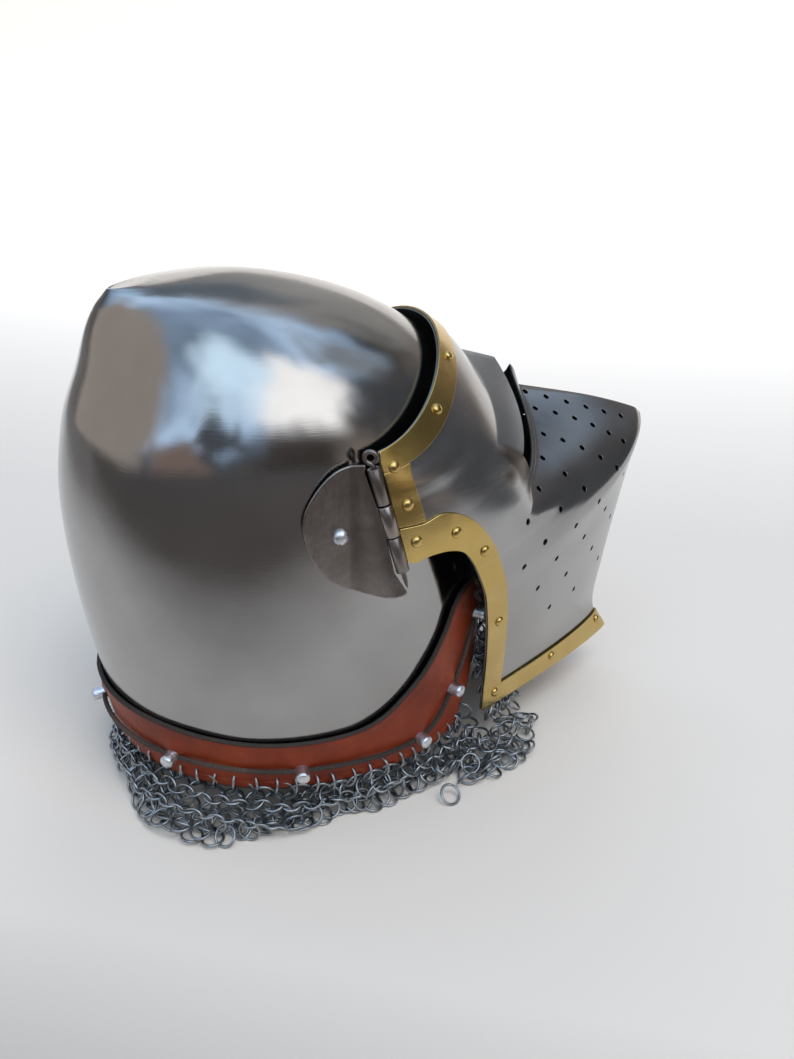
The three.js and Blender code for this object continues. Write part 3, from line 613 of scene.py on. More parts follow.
def plate_steel():
    s = Shader("plate_steel")
    stain = s.noise(30, 4, 0.6)
    brushed = s.grain(3, (80, 1600, 80), (0.3, 0.2, 0))
    tone = s.ramp(stain, (0.3, 0.25, 0.215, 0.195), (0.7, 0.34, 0.315, 0.3))
    rough = s.math("ADD", s.span(stain, 0.3, 0.8, 0.2, 0.3), s.span(brushed, 0.3, 0.7, -0.03, 0.06))
    return s.finish(tone, 1.0, rough, (s.noise(60), 0.4, 0.001), (brushed, 0.12, 0.0002))


def brass():
    s = Shader("brass")
    stain = s.noise(26, 4, 0.6)
    brushed = s.grain(4, (90, 90, 2400), (0.5, 0.15, 0.2))
    tone = s.ramp(stain, (0.3, 0.5, 0.34, 0.105), (0.7, 0.62, 0.455, 0.17))
    rough = s.math("ADD", s.span(stain, 0.3, 0.8, 0.17, 0.27), s.span(brushed, 0.3, 0.7, -0.03, 0.06))
    return s.finish(tone, 1.0, rough, (s.noise(34), 0.5, 0.0016), (s.noise(150), 0.15, 0.0003),
                    (brushed, 0.1, 0.0002))


def aluminium():
    s = Shader("aluminium")
    wear = s.noise(300, 4, 0.6)
    filed = s.grain(3, (300, 300, 1500), (0.4, 0.3, 0))
    tone = s.ramp(wear, (0.3, 0.5, 0.52, 0.55), (0.7, 0.8, 0.82, 0.84))
    return s.finish(tone, 1.0, s.span(wear, 0.3, 0.8, 0.3, 0.48), (s.noise(420), 0.6, 0.0006),
                    (filed, 0.4, 0.0003))


def leather():
    s = Shader("leather")
    tone = s.noise(22, 4, 0.6)
    pores = s.node("ShaderNodeTexVoronoi", Vector=s.place, Scale=1300).outputs["Distance"]
    crease = s.grain(4, (260, 260, 120), rough=0.65)
    face = s.ramp(tone, (0.3, 0.13, 0.0155, 0.004), (0.55, 0.205, 0.028, 0.0065), (0.8, 0.3, 0.05, 0.0125))
    edge = s.span(s.attribute("edge"), 0.2, 1.6, 1.0, 0.0)
    rough = s.math("ADD", s.span(crease, 0.3, 0.8, 0.42, 0.6), s.span(edge, 0.0, 1.0, 0.0, 0.25))
    return s.finish(s.mix(edge, face, (0.03, 0.018, 0.014)), 0.0, rough, (tone, 0.4, 0.002),
                    (crease, 0.28, 0.0006), (pores, 0.16, 0.0002), Specular_IOR_Level=0.3)


def leather_cut():
    s = Shader("leather_cut")
    fibre = s.noise(900, 5, 0.7)
    tone = s.ramp(fibre, (0.3, 0.012, 0.009, 0.008), (0.8, 0.06, 0.045, 0.038))
    return s.finish(tone, 0.0, s.span(fibre, 0.3, 0.8, 0.75, 0.95), (fibre, 0.7, 0.0006))


def braid():
    s = Shader("braid")
    fibre = s.noise(1400, 3, 0.6)
    dark = s.ramp(fibre, (0.3, 0.012, 0.009, 0.008), (0.8, 0.05, 0.036, 0.03))
    worn = s.ramp(fibre, (0.3, 0.05, 0.03, 0.022), (0.8, 0.14, 0.09, 0.07))
    tone = s.mix(s.span(s.noise(11), 0.45, 0.62), dark, worn)
    return s.finish(tone, 0.0, s.span(fibre, 0.3, 0.8, 0.7, 0.9), (fibre, 0.5, 0.0003))


def mail_wire():
    s = Shader("mail_wire")
    zinc = s.noise(180, 4, 0.6)
    tone = s.ramp(zinc, (0.28, 0.16, 0.175, 0.19), (0.6, 0.36, 0.38, 0.4), (0.85, 0.5, 0.52, 0.54))
    return s.finish(tone, 1.0, s.span(zinc, 0.3, 0.8, 0.26, 0.44), (zinc, 0.2, 0.0003))


STEEL, VISOR_STEEL = polished_steel("skull_steel", 0), polished_steel("visor_steel", 0.07)
SHADE_BLACK, DARK, PLATE = black_inside(), dark_steel(), plate_steel()
BRASS, STUD, LEATHER, CUT_LEATHER = brass(), aluminium(), leather(), leather_cut()
LACE, MAIL = braid(), mail_wire()


# Skull

def make_skull():
    whole = np.vstack([spline(RIM_BOTTOM, 60), [[140, 140], [-150, 140]]])
    face = np.vstack([spline(FACE_EDGE, 120), [[-150, -170], [-150, 45]]])

    def keep(p):
        return np.minimum(inside_polygon(p, whole), -inside_polygon(p, face))

    ts = np.concatenate([np.linspace(0, 9.4, 118), np.linspace(9.45, SKULL_TOP, 14)])
    angles = np.linspace(0, 2 * math.pi, 240, endpoint=False)
    t, a, faces = cut_sheet(ts, angles, skull_points, keep, closed=True)
    top_ring = np.where(t > SKULL_TOP - 1e-6)[0]
    faces.append(tuple(top_ring[np.argsort(a[top_ring])].tolist()))
    points, faces, group, shading = walled(skull_points(t, a), SKULL.normals(t, a), faces, STEEL_WALL)
    count, inner_top = len(t), 9.72
    points[count:2 * count] = SKULL.offset(np.minimum(t, inner_top), a, -STEEL_WALL)
    # The inner faces take the near-black: black paint and painted shade.
    add_mesh("skull_shell", points, faces, [STEEL, SHADE_BLACK, STEEL], "helmet", "polished_steel", "skull",
             shading, group)


# Visor

def barrel_at(f):
    """A point on the hinge barrel's axis, from its top at 0 to its bottom at 1."""
    return BARREL_TOP + (BARREL_BOTTOM - BARREL_TOP) * np.asarray(f)[..., None]


def barrel_level(z):
    """The point on the hinge barrel's axis at a height."""
    return barrel_at((BARREL_TOP[2] - z) / (BARREL_TOP[2] - BARREL_BOTTOM[2]))


HINGE_EDGE = [[barrel_level(z)[1] - BARREL_RADIUS - 0.5, z] for z in (38, -13)]
VISOR_OUTLINE = np.vstack([[[-260, 110], [HINGE_EDGE[0][0], 110]], HINGE_EDGE, spline(SIDE_EDGE, 90),
                           [[-260, -175]]])
SLOT_LOW, SLOT_HIGH = LOWER_LIP + 0.04, UPPER_LIP - 0.02
BROW_EDGE = BROW - 0.04
VISOR_TS = dense([0, 5, 8, SLOT_LOW, SLOT_HIGH, LIP_ROOT, BROW_EDGE], 0.058)
VISOR_ANGLES = dense([-math.pi / 2, -SLOT_END, 0, SLOT_END, math.pi / 2], math.radians(1.05))


def hole_places():
    """The t and angle of each breath hole, the right side's before the left's."""
    places = []
    for first_y, first_z, last_y, last_z, bow_y, bow_z, count in HOLE_ROWS:
        for f in np.linspace(0, 1, count):
            bow = math.sin(math.pi * f)
            y = first_y + (last_y - first_y) * f + bow_y * bow
            z = first_z + (last_z - first_z) * f + bow_z * bow
            places.append(VISOR.find(y, z, LOWER_LIP, math.radians(80)))
    return places + [(t, -a) for t, a in places]


def punch(t, a, faces, places):
    """Opens a round hole at each place: triangles join it to the gap that the faces near it leave."""
    points = visor_points(t, a)
    middles = np.array([points[list(f)].mean(0) for f in faces])
    gone = np.zeros(len(faces), bool)
    new_t, new_a, new_faces = list(t), list(a), []
    for hole_t, hole_a in places:
        centre = visor_points(hole_t, hole_a)
        near = np.where((np.linalg.norm(middles - centre, axis=1) < HOLE_RADIUS + 1.9) & ~gone)[0]
        gone[near] = True
        follow = dict(boundary([faces[n] for n in near]))
        ring = [next(iter(follow))]
        while follow[ring[-1]] != ring[0]:
            ring.append(follow[ring[-1]])
        step = 0.004
        dt = (visor_points(hole_t + step, hole_a) - centre) / step
        da = (visor_points(hole_t, hole_a + step) - centre) / step
        east = unit(da)
        north = np.cross(unit(np.cross(dt, da)), east)
        solve = np.linalg.pinv(np.stack([dt, da], 1))
        where = points[ring] - centre
        ring_angle = np.arctan2(where @ north, where @ east)
        sense = np.sign(np.sum(np.diff(np.unwrap(ring_angle))))
        turns = ring_angle[0] + sense * np.arange(HOLE_SIDES) * 2 * math.pi / HOLE_SIDES
        base = len(new_t)
        for turn in turns:
            shift = solve @ (HOLE_RADIUS * (east * math.cos(turn) + north * math.sin(turn)))
            new_t.append(hole_t + shift[0])
            new_a.append(hole_a + shift[1])
        outer = np.unwrap(np.append(ring_angle, ring_angle[0])) * sense
        inner = np.append(turns, turns[0]) * sense
        outer[-1], inner[-1] = outer[0] + 2 * math.pi, inner[0] + 2 * math.pi
        m = n = 0
        while m < len(ring) or n < HOLE_SIDES:
            here, spot = ring[m % len(ring)], base + n % HOLE_SIDES
            if n == HOLE_SIDES or (m < len(ring) and outer[m + 1] <= inner[n + 1]):
                m += 1
                new_faces.append((here, ring[m % len(ring)], spot))
            else:
                n += 1
                new_faces.append((here, base + n % HOLE_SIDES, spot))
    kept = [f for f, dead in zip(faces, gone) if not dead]
    return compact(np.array(new_t), np.array(new_a), kept + new_faces)


def visor_marks(t, a):
    """How far each point is on the slot's lips, which are darkened as painted shade, and on the dark brown
    folds at its ends.
    """
    upper = (t > SLOT_HIGH - 0.01) & (t < LIP_ROOT + 0.001) & (np.abs(a) < SLOT_END + 0.02)
    lower = (t > 8.55) & (t < SLOT_LOW + 0.01) & (np.abs(a) < SLOT_END)
    above, beside = t - 9.95, np.degrees(np.abs(a)) - 37
    fold = np.exp(-(above / 0.95) ** 4 - (beside / (4.6 - 1.2 * above)) ** 4)
    streak = 0.8 * bell(above - 0.05, 0.4) * bell(beside - 7, 5)
    return np.maximum(upper * 1.0, lower * 0.8), np.maximum(fold, streak)


def make_visor():
    def in_slot(t0, a0, t1, a1):
        middle_t, middle_a = (t0 + t1) / 2, (a0 + a1) / 2
        return (middle_t > SLOT_LOW) & (middle_t < SLOT_HIGH) & (np.abs(middle_a) < SLOT_END)

    t, a, faces = cut_sheet(VISOR_TS, VISOR_ANGLES, visor_points, within(VISOR_OUTLINE), skip=in_slot)
    places = hole_places()
    t, a, faces = punch(t, a, faces, places)
    base = visor_points(t, a)
    centres = visor_points(*np.array(places).T)
    share = np.where(nearest(base, centres) < HOLE_RADIUS + 0.5, 0.12, 0.8)
    points, faces, group, shading = walled(base, VISOR.normals(t, a), faces, VISOR_WALL, share)
    rim = np.where(group == 2)[0]
    middle = np.array([points[list(faces[n])].mean(0) for n in rim])
    slot = np.meshgrid(np.linspace(SLOT_LOW, SLOT_HIGH, 3), np.linspace(-SLOT_END, SLOT_END, 120))
    opening = nearest(middle, centres) < HOLE_RADIUS + 0.8
    opening |= nearest(middle, visor_points(*slot).reshape(-1, 3)) < 3.2
    # Most of each rim round the breath holes and the slot takes the near-black: painted shade in the
    # openings.
    group[rim[opening & (rim % RIM_STEPS != rim[0] % RIM_STEPS)]] = 1
    # Colour marks: painted shade on the slot's lips, and dark brown at the folds by the slot's ends.
    lip, scorch = visor_marks(t, a)
    add_mesh("visor_shell", points, faces, [VISOR_STEEL, SHADE_BLACK, VISOR_STEEL], "visor", "polished_steel",
             "visor", shading, group, lip=on_wall(lip, points, 1), scorch=on_wall(scorch, points, 0))


# Brass trim

BRASS_OUT = 0.45 + BRASS_WALL


def make_trim(name, ts, angles, node, *outlines):
    t, a, faces = cut_sheet(ts, angles, visor_points, within(*outlines))
    points, normals = VISOR.offset(t, a, BRASS_OUT), VISOR.normals(t, a)
    points, faces, _, shading = walled(points, normals, faces, BRASS_OUT - 0.1, 0.5)
    add_mesh(name, points, faces, [BRASS], "visor", "brass", node, shading)


def make_trims():
    side = np.vstack([[[HINGE_EDGE[1][0] + 4.4, 4]], spline(SIDE_TRIM_TOP, 90), spline(SIDE_EDGE, 90)[::-1]])
    strap = np.array([[-16, 60], [-33, 60], [-34.5, 30], [-42, 6.6], [-20, 5]])
    fine = math.radians(1.0)
    side_ts = dense([CHIN_TRIM_TOP, BROW_TRIM_LOW - 0.3], 0.05)
    strap_ts = dense([6, BROW_TRIM_LOW - 0.04], 0.05)
    make_trim("brow_strip", dense([BROW_TRIM_LOW, BROW_EDGE], 0.05), VISOR_ANGLES, "brow_trim", VISOR_OUTLINE)
    make_trim("chin_strip", dense([0, CHIN_TRIM_TOP - 0.02], 0.06), VISOR_ANGLES, "chin_trim", VISOR_OUTLINE)
    for way, word in ((1, "right"), (-1, "left")):
        angles = np.sort(way * np.array(dense([fine, math.pi / 2], fine)))
        make_trim(f"side_strip_{word}", side_ts, angles, f"side_trim_{word}", side, VISOR_OUTLINE)
        make_trim(f"strap_strip_{word}", strap_ts, angles, f"hinge_strap_{word}", strap, VISOR_OUTLINE)


# Radius and height of a rivet's head.
DOME = [(0, 0), (3.1, 0), (3.15, 0.35), (2.95, 0.95), (2.45, 1.5), (1.7, 1.9), (0.8, 2.1), (0, 2.15)]


def make_rivets():
    places = {f"brow_rivet_{i + 1}": p for i, p in enumerate(BROW_RIVETS)}
    places["strap_rivet"] = STRAP_RIVET
    places.update({f"side_rivet_{i + 1}": p for i, p in enumerate(SIDE_RIVETS)})
    places.update({f"chin_rivet_{i + 1}": p for i, p in enumerate(CHIN_RIVETS)})
    for name, (y, z) in places.items():
        at, normal = VISOR.seat(y, z, BRASS_OUT - 0.15, BROW, math.radians(88))
        add_pair(name + "_head_{}", *lathe(DOME, 28, at, normal), BRASS, "visor", "brass", name + "_{}")


# Hinges

def knuckle(low, high, out=BARREL_RADIUS):
    """A rolled tube: its ends are open round the pin."""
    a, b = barrel_at(low), barrel_at(high)
    axis, length = unit(b - a), np.linalg.norm(b - a)
    bore, soft, sides = PIN_RADIUS + 0.35, 0.35, 28
    profile = [(bore, length - soft), (bore + soft, length), (out - soft, length), (out, length - soft),
               (out, soft), (out - soft, 0), (bore + soft, 0), (bore, soft)]
    side = unit(np.cross(axis, [0, 0, 1.0]))
    ring = spokes(side, np.cross(axis, side), sides)
    points = np.concatenate([a + axis * height + ring * radius for radius, height in profile])
    return points, ring_faces(len(profile), sides, closed=True)


def plate_x(y, z):
    """Half the distance between the plates, which spread in front of the pivot to reach the barrels."""
    barrel, flat_to = barrel_level(z), 4.6
    ahead = ease((-y - flat_to) / np.maximum(-barrel[..., 1] - 3 - flat_to, 1e-6))
    return PLATE_X + (-barrel[..., 0] - PLATE_WALL / 2 - PLATE_X) * ahead


def make_plates():
    low, top, clear = 0.5, 15.5, BARREL_RADIUS + 0.7
    front = [(-18.6, clear + 1), (low, clear), (low, 0.4), (top, 0.4), (top, clear), (34, clear + 1.5)]
    outline = np.vstack([spline(PLATE_ROUND, 50), [[barrel_level(z)[1] + step, z] for z, step in front]])

    def sheet(z, y):
        return np.stack([-plate_x(y, z) - PLATE_WALL, y, z], -1)

    z, y, faces = cut_sheet(np.arange(-36, 42.01, 0.9), np.arange(-36, 22.01, 0.9), sheet, within(outline))
    step = 0.05
    normals = unit(np.cross(sheet(z + step, y) - sheet(z - step, y), sheet(z, y + step) - sheet(z, y - step)))
    normals *= -np.sign(normals[:, :1].mean())
    wall = walled(sheet(z, y), normals, faces, PLATE_WALL, 0.6)
    points, faces = joined([wall[:2], knuckle(0.352, 0.648, BARREL_RADIUS + 0.35)])
    add_pair("plate_{}", points, faces, PLATE, "visor", "dark_steel", "pivot_plate_{}")


def make_leaves():
    """The visor's leaf: two rolled knuckles and a strap from each that goes in behind the brass."""
    parts = [knuckle(0, 0.34), knuckle(0.66, 1)]
    ts = dense([8.2, 12.9], 0.1)
    angles = dense([math.radians(58), math.radians(90)], math.radians(1.5))
    for top, low in ((34, 18.5), (-1.5, -11)):
        top_y, low_y = barrel_level(top)[1] - 0.5, barrel_level(low)[1] - 0.5
        outline = [[top_y, top], [-36, top], [-40, low], [low_y, low]]
        t, a, faces = cut_sheet(ts, angles, visor_points, within(outline))
        points = VISOR.offset(t, a, -VISOR_WALL - 0.45)
        parts.append(walled(points, VISOR.normals(t, a), faces, 1.4)[:2])
    add_pair("leaf_{}", *joined(parts), DARK, "visor", "dark_steel", "hinge_leaf_{}")


def make_pins():
    """A straight wire with its top bent into a loop and its foot filed to a point."""
    axis = unit(BARREL_TOP - BARREL_BOTTOM)
    flat = unit(np.cross(axis, [math.cos(0.5), -math.sin(0.5), 0]))
    heart = BARREL_TOP + axis * 5.4
    turns = np.linspace(0.35, 2 * math.pi - 0.3, 30)
    path = [BARREL_BOTTOM - axis * d for d in (9.5, 8.5, 6)] + [*barrel_at(np.linspace(1.06, 0.0, 12))]
    path += [BARREL_TOP + axis * 1.6]
    path += [heart + 3.0 * (math.sin(w) * flat - math.cos(w) * axis) for w in turns]
    radius = np.full(len(path), PIN_RADIUS)
    radius[:3] = [0.25, 0.6, 1.0]
    add_pair("pin_wire_{}", *tube(np.array(path), radius, 14), DARK, "pin_{}", "dark_steel", "hinge_pin_{}")


def make_pivot_rivets():
    face = 6 + PLATE_WALL + 0.1
    foot = [(0, 0), (4.2, 0), (4.2, 1.3), (2.3, 1.3)]
    head = [(2.3, -0.3), (4.1, -0.2), (4.3, 0.3), (4.1, 1.3), (3.4, 2.3), (2.3, 3.0), (1.1, 3.35), (0, 3.45)]
    profile = foot + [(radius, face + height) for radius, height in head]
    points, faces = lathe(profile, 32, np.array([-PLATE_X + 6, 0, 0]), np.array([-1.0, 0, 0]))
    add_pair("pivot_head_{}", points, faces, STUD, "helmet", "aluminium_studs", "pivot_rivet_{}")


def make_knob():
    at, normal = VISOR.seat(-229, -50, 0.2, LOWER_LIP, math.radians(80))
    profile = [(0, 0), (3.6, 0), (3.7, 0.6), (3.4, 1.3), (2.3, 1.8), (2.1, 3.2), (2.4, 4.3), (3.3, 4.9),
               (3.5, 5.7), (3.1, 6.6), (1.8, 7.1), (0, 7.2)]
    points, faces = mirror(*lathe(profile, 24, at, normal))
    add_mesh("prow_button", points, faces, [DARK], "visor", "dark_steel", "prow_knob")


# Leather band

def stud_places():
    """The t and angle of each stud: the right side's from the front, the nape's, and the left side's."""
    right = [SKULL.find(y, z, 3, math.pi) for y, z in VERVELLES]
    right[-1] = (right[-1][0], math.pi)
    return right + [(t, 2 * math.pi - a) for t, a in right[:-1]]


def make_band():
    bottom = spline(BAND_BOTTOM, 60)
    outline = np.vstack([spline(BAND_TOP, 80), spline(BAND_FRONT, 60), bottom])
    studs = skull_points(*np.array(stud_places()).T)

    def relief(p, edge):
        """Swellings and pulls round the studs, ripples, a scored line and a lifted edge."""
        away = p[:, None] - studs[None]
        stand = 1.5 * bell(nearest(p, studs), 6.0)
        pull = 1.5 * (bell(np.linalg.norm(away[..., :2], axis=-1), 6.5) * bell(away[..., 2] - 6, 6.0)).max(1)
        ripple = 0.35 * np.sin(p[:, 1] / 7.3 + 2.0 * np.sign(p[:, 0])) * np.sin(p[:, 2] / 9.1 + 1.3)
        height = p[:, 2] - np.interp(p[:, 1], *bottom[np.argsort(bottom[:, 0])].T)
        score = -0.45 * bell(height - 6.0, 0.55)
        forward = np.clip((60 - p[:, 1]) / 120, 0, 1)
        lift = (0.2 + 1.3 * forward) * bell(edge, 6.0) * np.clip((height - 14) / 10, 0, 1)
        return stand + pull + ripple + score + lift

    ts = dense([0, 2.9], 0.026)
    angles = dense([math.radians(24), math.radians(336)], math.radians(0.75))
    t, a, faces = cut_sheet(ts, angles, skull_points, within(outline))
    base, normals = skull_points(t, a), SKULL.normals(t, a)
    edge = np.abs(inside_polygon(base, outline))
    points = base + normals * (LEATHER_OUT + relief(base, edge))[:, None]
    points, faces, group, _ = walled(points, normals, faces, LEATHER_WALL, 0.35)
    add_mesh("leather_strap", points, faces, [LEATHER, CUT_LEATHER, CUT_LEATHER], "helmet", "leather",
             "leather_band", group=group, edge=on_wall(edge, points, 0))


def make_vervelles():
    names = [f"vervelle_{i + 1}_right" for i in range(5)] + ["vervelle_nape"]
    names += [f"vervelle_{i + 1}_left" for i in range(5)]
    profile = [(0, 0), (4.05, 0), (3.95, 1.5), (3.85, 4.0), (3.95, 6.2), (4.0, 7.4), (3.8, 8.3), (3.2, 9.0),
               (2.0, 9.35), (0.9, 9.45), (0, 9.45)]
    for place, name in zip(stud_places(), names):
        points, faces = lathe(profile, 26, SKULL.offset(*place, LEATHER_OUT + 0.3), SKULL.normals(*place))
        add_mesh(f"{name}_stud", points, faces, [STUD], "helmet", "aluminium_studs", name)


# Lace

BRAID_STRANDS, BRAID_PITCH, BRAID_STEP = 4, 9.0, 0.75


def lengths_along(path):
    return np.concatenate([[0], np.cumsum(np.linalg.norm(np.diff(path, axis=0), axis=1))])


def braided(path, radius):
    """A round braid: strands wind both ways and pass over and under each other."""
    length = lengths_along(path)
    at = np.linspace(0, length[-1], max(2, int(length[-1] / BRAID_STEP)))
    path = np.stack([np.interp(at, length, path[:, k]) for k in range(3)], 1)
    side, up = frames_along(path)
    winding = 2 * math.pi * at / BRAID_PITCH
    parts = []
    for way in (1, -1):
        for k in range(BRAID_STRANDS):
            turn = way * winding + 2 * math.pi * k / BRAID_STRANDS + (0.3 if way < 0 else 0)
            weave = 1 + 0.16 * way * np.cos((way * turn + winding) * BRAID_STRANDS / 2)
            ring = side * np.cos(turn)[:, None] + up * np.sin(turn)[:, None]
            parts.append(tube(path + ring * (radius * 0.62 * weave)[:, None], radius * 0.46, 5))
    return joined(parts)


def make_lace():
    """The braid through the studs, with a knot and two tails at each cheek."""
    studs = [SKULL.find(*LACE_END, 3, math.pi)] + stud_places()[:6]
    left = [(t, 2 * math.pi - a) for t, a in studs[:-1]][::-1]
    route = SKULL.offset(*spline(studs + left, 900).T, LEATHER_OUT + 0.9 + LACE_RADIUS)
    parts = [braided(route, LACE_RADIUS)]
    for end, side in ((route[0], -1), (route[-1], 1)):
        out = unit(end * [1, 0.2, 0])
        heart = end + out * 2.6 + np.array([0, -0.5, 3.5])
        knot = [heart + 3.1 * np.array([0, math.cos(2 * w) * (1 + 0.25 * math.cos(3 * w)),
                                        math.sin(2 * w) * (1.2 + 0.3 * math.cos(3 * w))])
                + out * 1.5 * math.sin(3 * w) for w in np.linspace(0, 2 * math.pi, 60, endpoint=False)]
        parts.append(tube(np.array(knot), 1.4, 8, closed=True))
        for back, rise in ((5, 11), (0.5, 12)):
            tail = [end, heart, heart + [side * 0.8, back * 0.4, rise / 2], heart + [side * 0.8, back, rise]]
            parts.append(braided(spline(tail, 24), 1.1))
    add_mesh("braided_lace", *joined(parts), [LACE], "helmet", "lace", "lace")


# Mail

# Columns: angle from the front, top radius, foot radius, as in the part's source.
MAIL_RING = np.array([
    [0, 131, 153], [18, 125, 150], [30, 117, 141], [36, 111, 134], [50, 104, 121], [70, 102, 107],
    [90, 101, 106], [108, 103, 116], [125, 106, 132], [143, 109, 131], [154, 111, 129], [166, 112, 123],
    [180, 112, 122],
])
RING_RADIUS, WIRE_RADIUS, RING_STEPS, WIRE_SIDES = 6.0, 0.82, 16, 6
# Rings that spill out at the front, right side. Columns: plan angle, distance, height over the surface.
SPILL = [
    [31, 153, 2], [34, 149, 7], [37, 146, 2], [40, 139, 6], [43, 137, 2], [28, 155, 5], [25, 158, 2],
    [33, 157, 3], [36, 152, 4], [39, 148, 3], [30, 149, 10], [26, 151, 9], [46, 133, 3], [49, 130, 1],
    [22, 158, 6], [41, 144, 8], [35, 143, 11], [29, 144, 14], [59, 131, 1], [38, 141, 10], [42, 139, 9],
    [45, 136, 7], [48, 134, 5], [51, 130, 4], [44, 141, 2], [32, 144, 15], [30, 140, 18], [27, 147, 13],
    [34, 139, 16], [37, 137, 13], [24, 152, 12], [40, 134, 13], [47, 129, 9], [31, 146, 5], [36, 147, 8],
]


def outward(angle):
    """The level direction at a plan angle in degrees from the front."""
    radians = math.radians(angle)
    return np.array([-math.sin(radians), -math.cos(radians), 0])


def mail_ring(centre, normal, spin):
    """The points of one wire ring."""
    side = square_to(normal)
    spoke = spokes(side, np.cross(normal, side), RING_STEPS, spin)
    bend = -np.arange(WIRE_SIDES) * 2 * math.pi / WIRE_SIDES
    points = (centre + spoke[:, None] * (RING_RADIUS + WIRE_RADIUS * np.cos(bend))[None, :, None]
              + normal * (WIRE_RADIUS * np.sin(bend))[None, :, None])
    return points.reshape(-1, 3)


def mail_profile(angle):
    """Points down the hang of the mail at one plan angle: radius and height."""
    folded = abs((angle + 180) % 360 - 180)
    top, foot = (np.interp(folded, MAIL_RING[:, 0], MAIL_RING[:, k]) for k in (1, 2))
    foot += 2.0 * math.sin(math.radians(angle) * 11)
    high = -158.7 + 6.2 * min(max((outward(angle)[1] * top - 20) / 115, 0), 1)
    if folded < 32:
        high = float(np.interp(folded, [0, 18, 30], [-134, -128, -116]))
    path = [[top + 1.5, high + 4], [top + 2.5, high - 2], [(top + foot) / 2 + 1, (high + FLOOR) / 2 + 1],
            [foot - 2, FLOOR + 7], [foot - 3, FLOOR + 2.2], [foot - 9, FLOOR + 1.2], [foot - 17, FLOOR + 1.6],
            [foot - 17, FLOOR + 8]]
    return spline(path, 60)


def mail_place(angle, at):
    """Centre, way round, way down and outward face at a plan angle and a length down the hang, or None."""
    path = mail_profile(angle)
    length = lengths_along(path)
    if at > length[-1]:
        return None
    here, before, after = ([np.interp(x, length, path[:, k]) for k in (0, 1)] for x in (at, at - 1, at + 1))
    out = outward(angle)
    across = np.array([out[1], -out[0], 0])
    down = unit(out * (after[0] - before[0]) + [0, 0, after[1] - before[1]])
    return out * here[0] + [0, 0, here[1]], across, down, unit(np.cross(across, down))


def make_mail():
    rng = np.random.default_rng(7)
    rows, columns, pitch, lean = 11, 62, 5.2, math.radians(38)
    rings = []
    for row in range(rows):
        for column in range(columns):
            angle = 360 * (column + 0.5 * (row % 2)) / columns
            place = mail_place(angle, 1.2 + row * pitch)
            if place is None:
                continue
            centre, across, down, face = place
            tilt = down * math.sin(lean) * (1 if row % 2 else -1)
            normal = face * math.cos(lean) + tilt + rng.normal(0, 0.13, 3)
            if row == 0:
                normal = across * (1 if column % 5 else 0.6) + face * 0.35 + rng.normal(0, 0.14, 3)
            rings.append((centre + rng.normal(0, 0.45, 3), unit(normal)))
    for angle, out, rise in SPILL:
        centre = outward(angle) * out + [0, 0, FLOOR + rise]
        rings.append((centre, unit(np.array([0, 0, 1.0]) + rng.normal(0, 0.45, 3))))
    parts = []
    template = ring_faces(RING_STEPS, WIRE_SIDES, True)
    for centre, normal in rings:
        lowest = WIRE_RADIUS + RING_RADIUS * math.sqrt(max(0, 1 - normal[2] ** 2))
        centre[2] = max(centre[2], FLOOR + lowest)
        parts.append((mail_ring(centre, normal, rng.uniform(0, 2 * math.pi)), template))
    add_mesh("mail_rings", *joined(parts), [MAIL], "helmet", "mail", "mail_aventail")


make_skull()
make_visor()
make_trims()
make_rivets()
make_plates()
make_leaves()
make_pins()
make_pivot_rivets()
make_knob()
make_band()
make_vervelles()
make_lace()
make_mail()


# Camera, at the photograph's viewing angle

CAMERA_PLACE = np.array([-484.75, 99.23, 172.61])
YAW, PITCH, ROLL = (math.radians(d) for d in (19.0732, 23.6038, 1.3046))
FOCAL, LONG_SIDE = 850.27, 1059
SENSOR = 36.0


def add_camera():
    forward = np.array([math.cos(YAW) * math.cos(PITCH), -math.sin(YAW) * math.cos(PITCH), -math.sin(PITCH)])
    level = np.array([-math.sin(YAW), -math.cos(YAW), 0])
    upright = np.cross(level, forward)
    right = math.cos(ROLL) * level + math.sin(ROLL) * upright
    up = -math.sin(ROLL) * level + math.cos(ROLL) * upright
    data = bpy.data.cameras.new("camera")
    data.sensor_width = SENSOR
    data.lens = FOCAL * SENSOR / LONG_SIDE
    data.clip_start, data.clip_end = 0.01, 60
    rows = np.stack([right, up, -forward, (CAMERA_PLACE + PIVOT) / 1000], 1).tolist()
    camera = add_object("camera", data)
    camera.matrix_world = Matrix([*rows, [0, 0, 0, 1]])
    bpy.context.scene.camera = camera


# Floor, lights and surroundings

# Level directions: away from the camera, across the view to the left, and the floor's shaded side.
AWAY = np.array([0.945, -0.327])
ACROSS = np.array([-AWAY[1], AWAY[0]])
SHADED_SIDE = (-0.87, 0.49, 0)


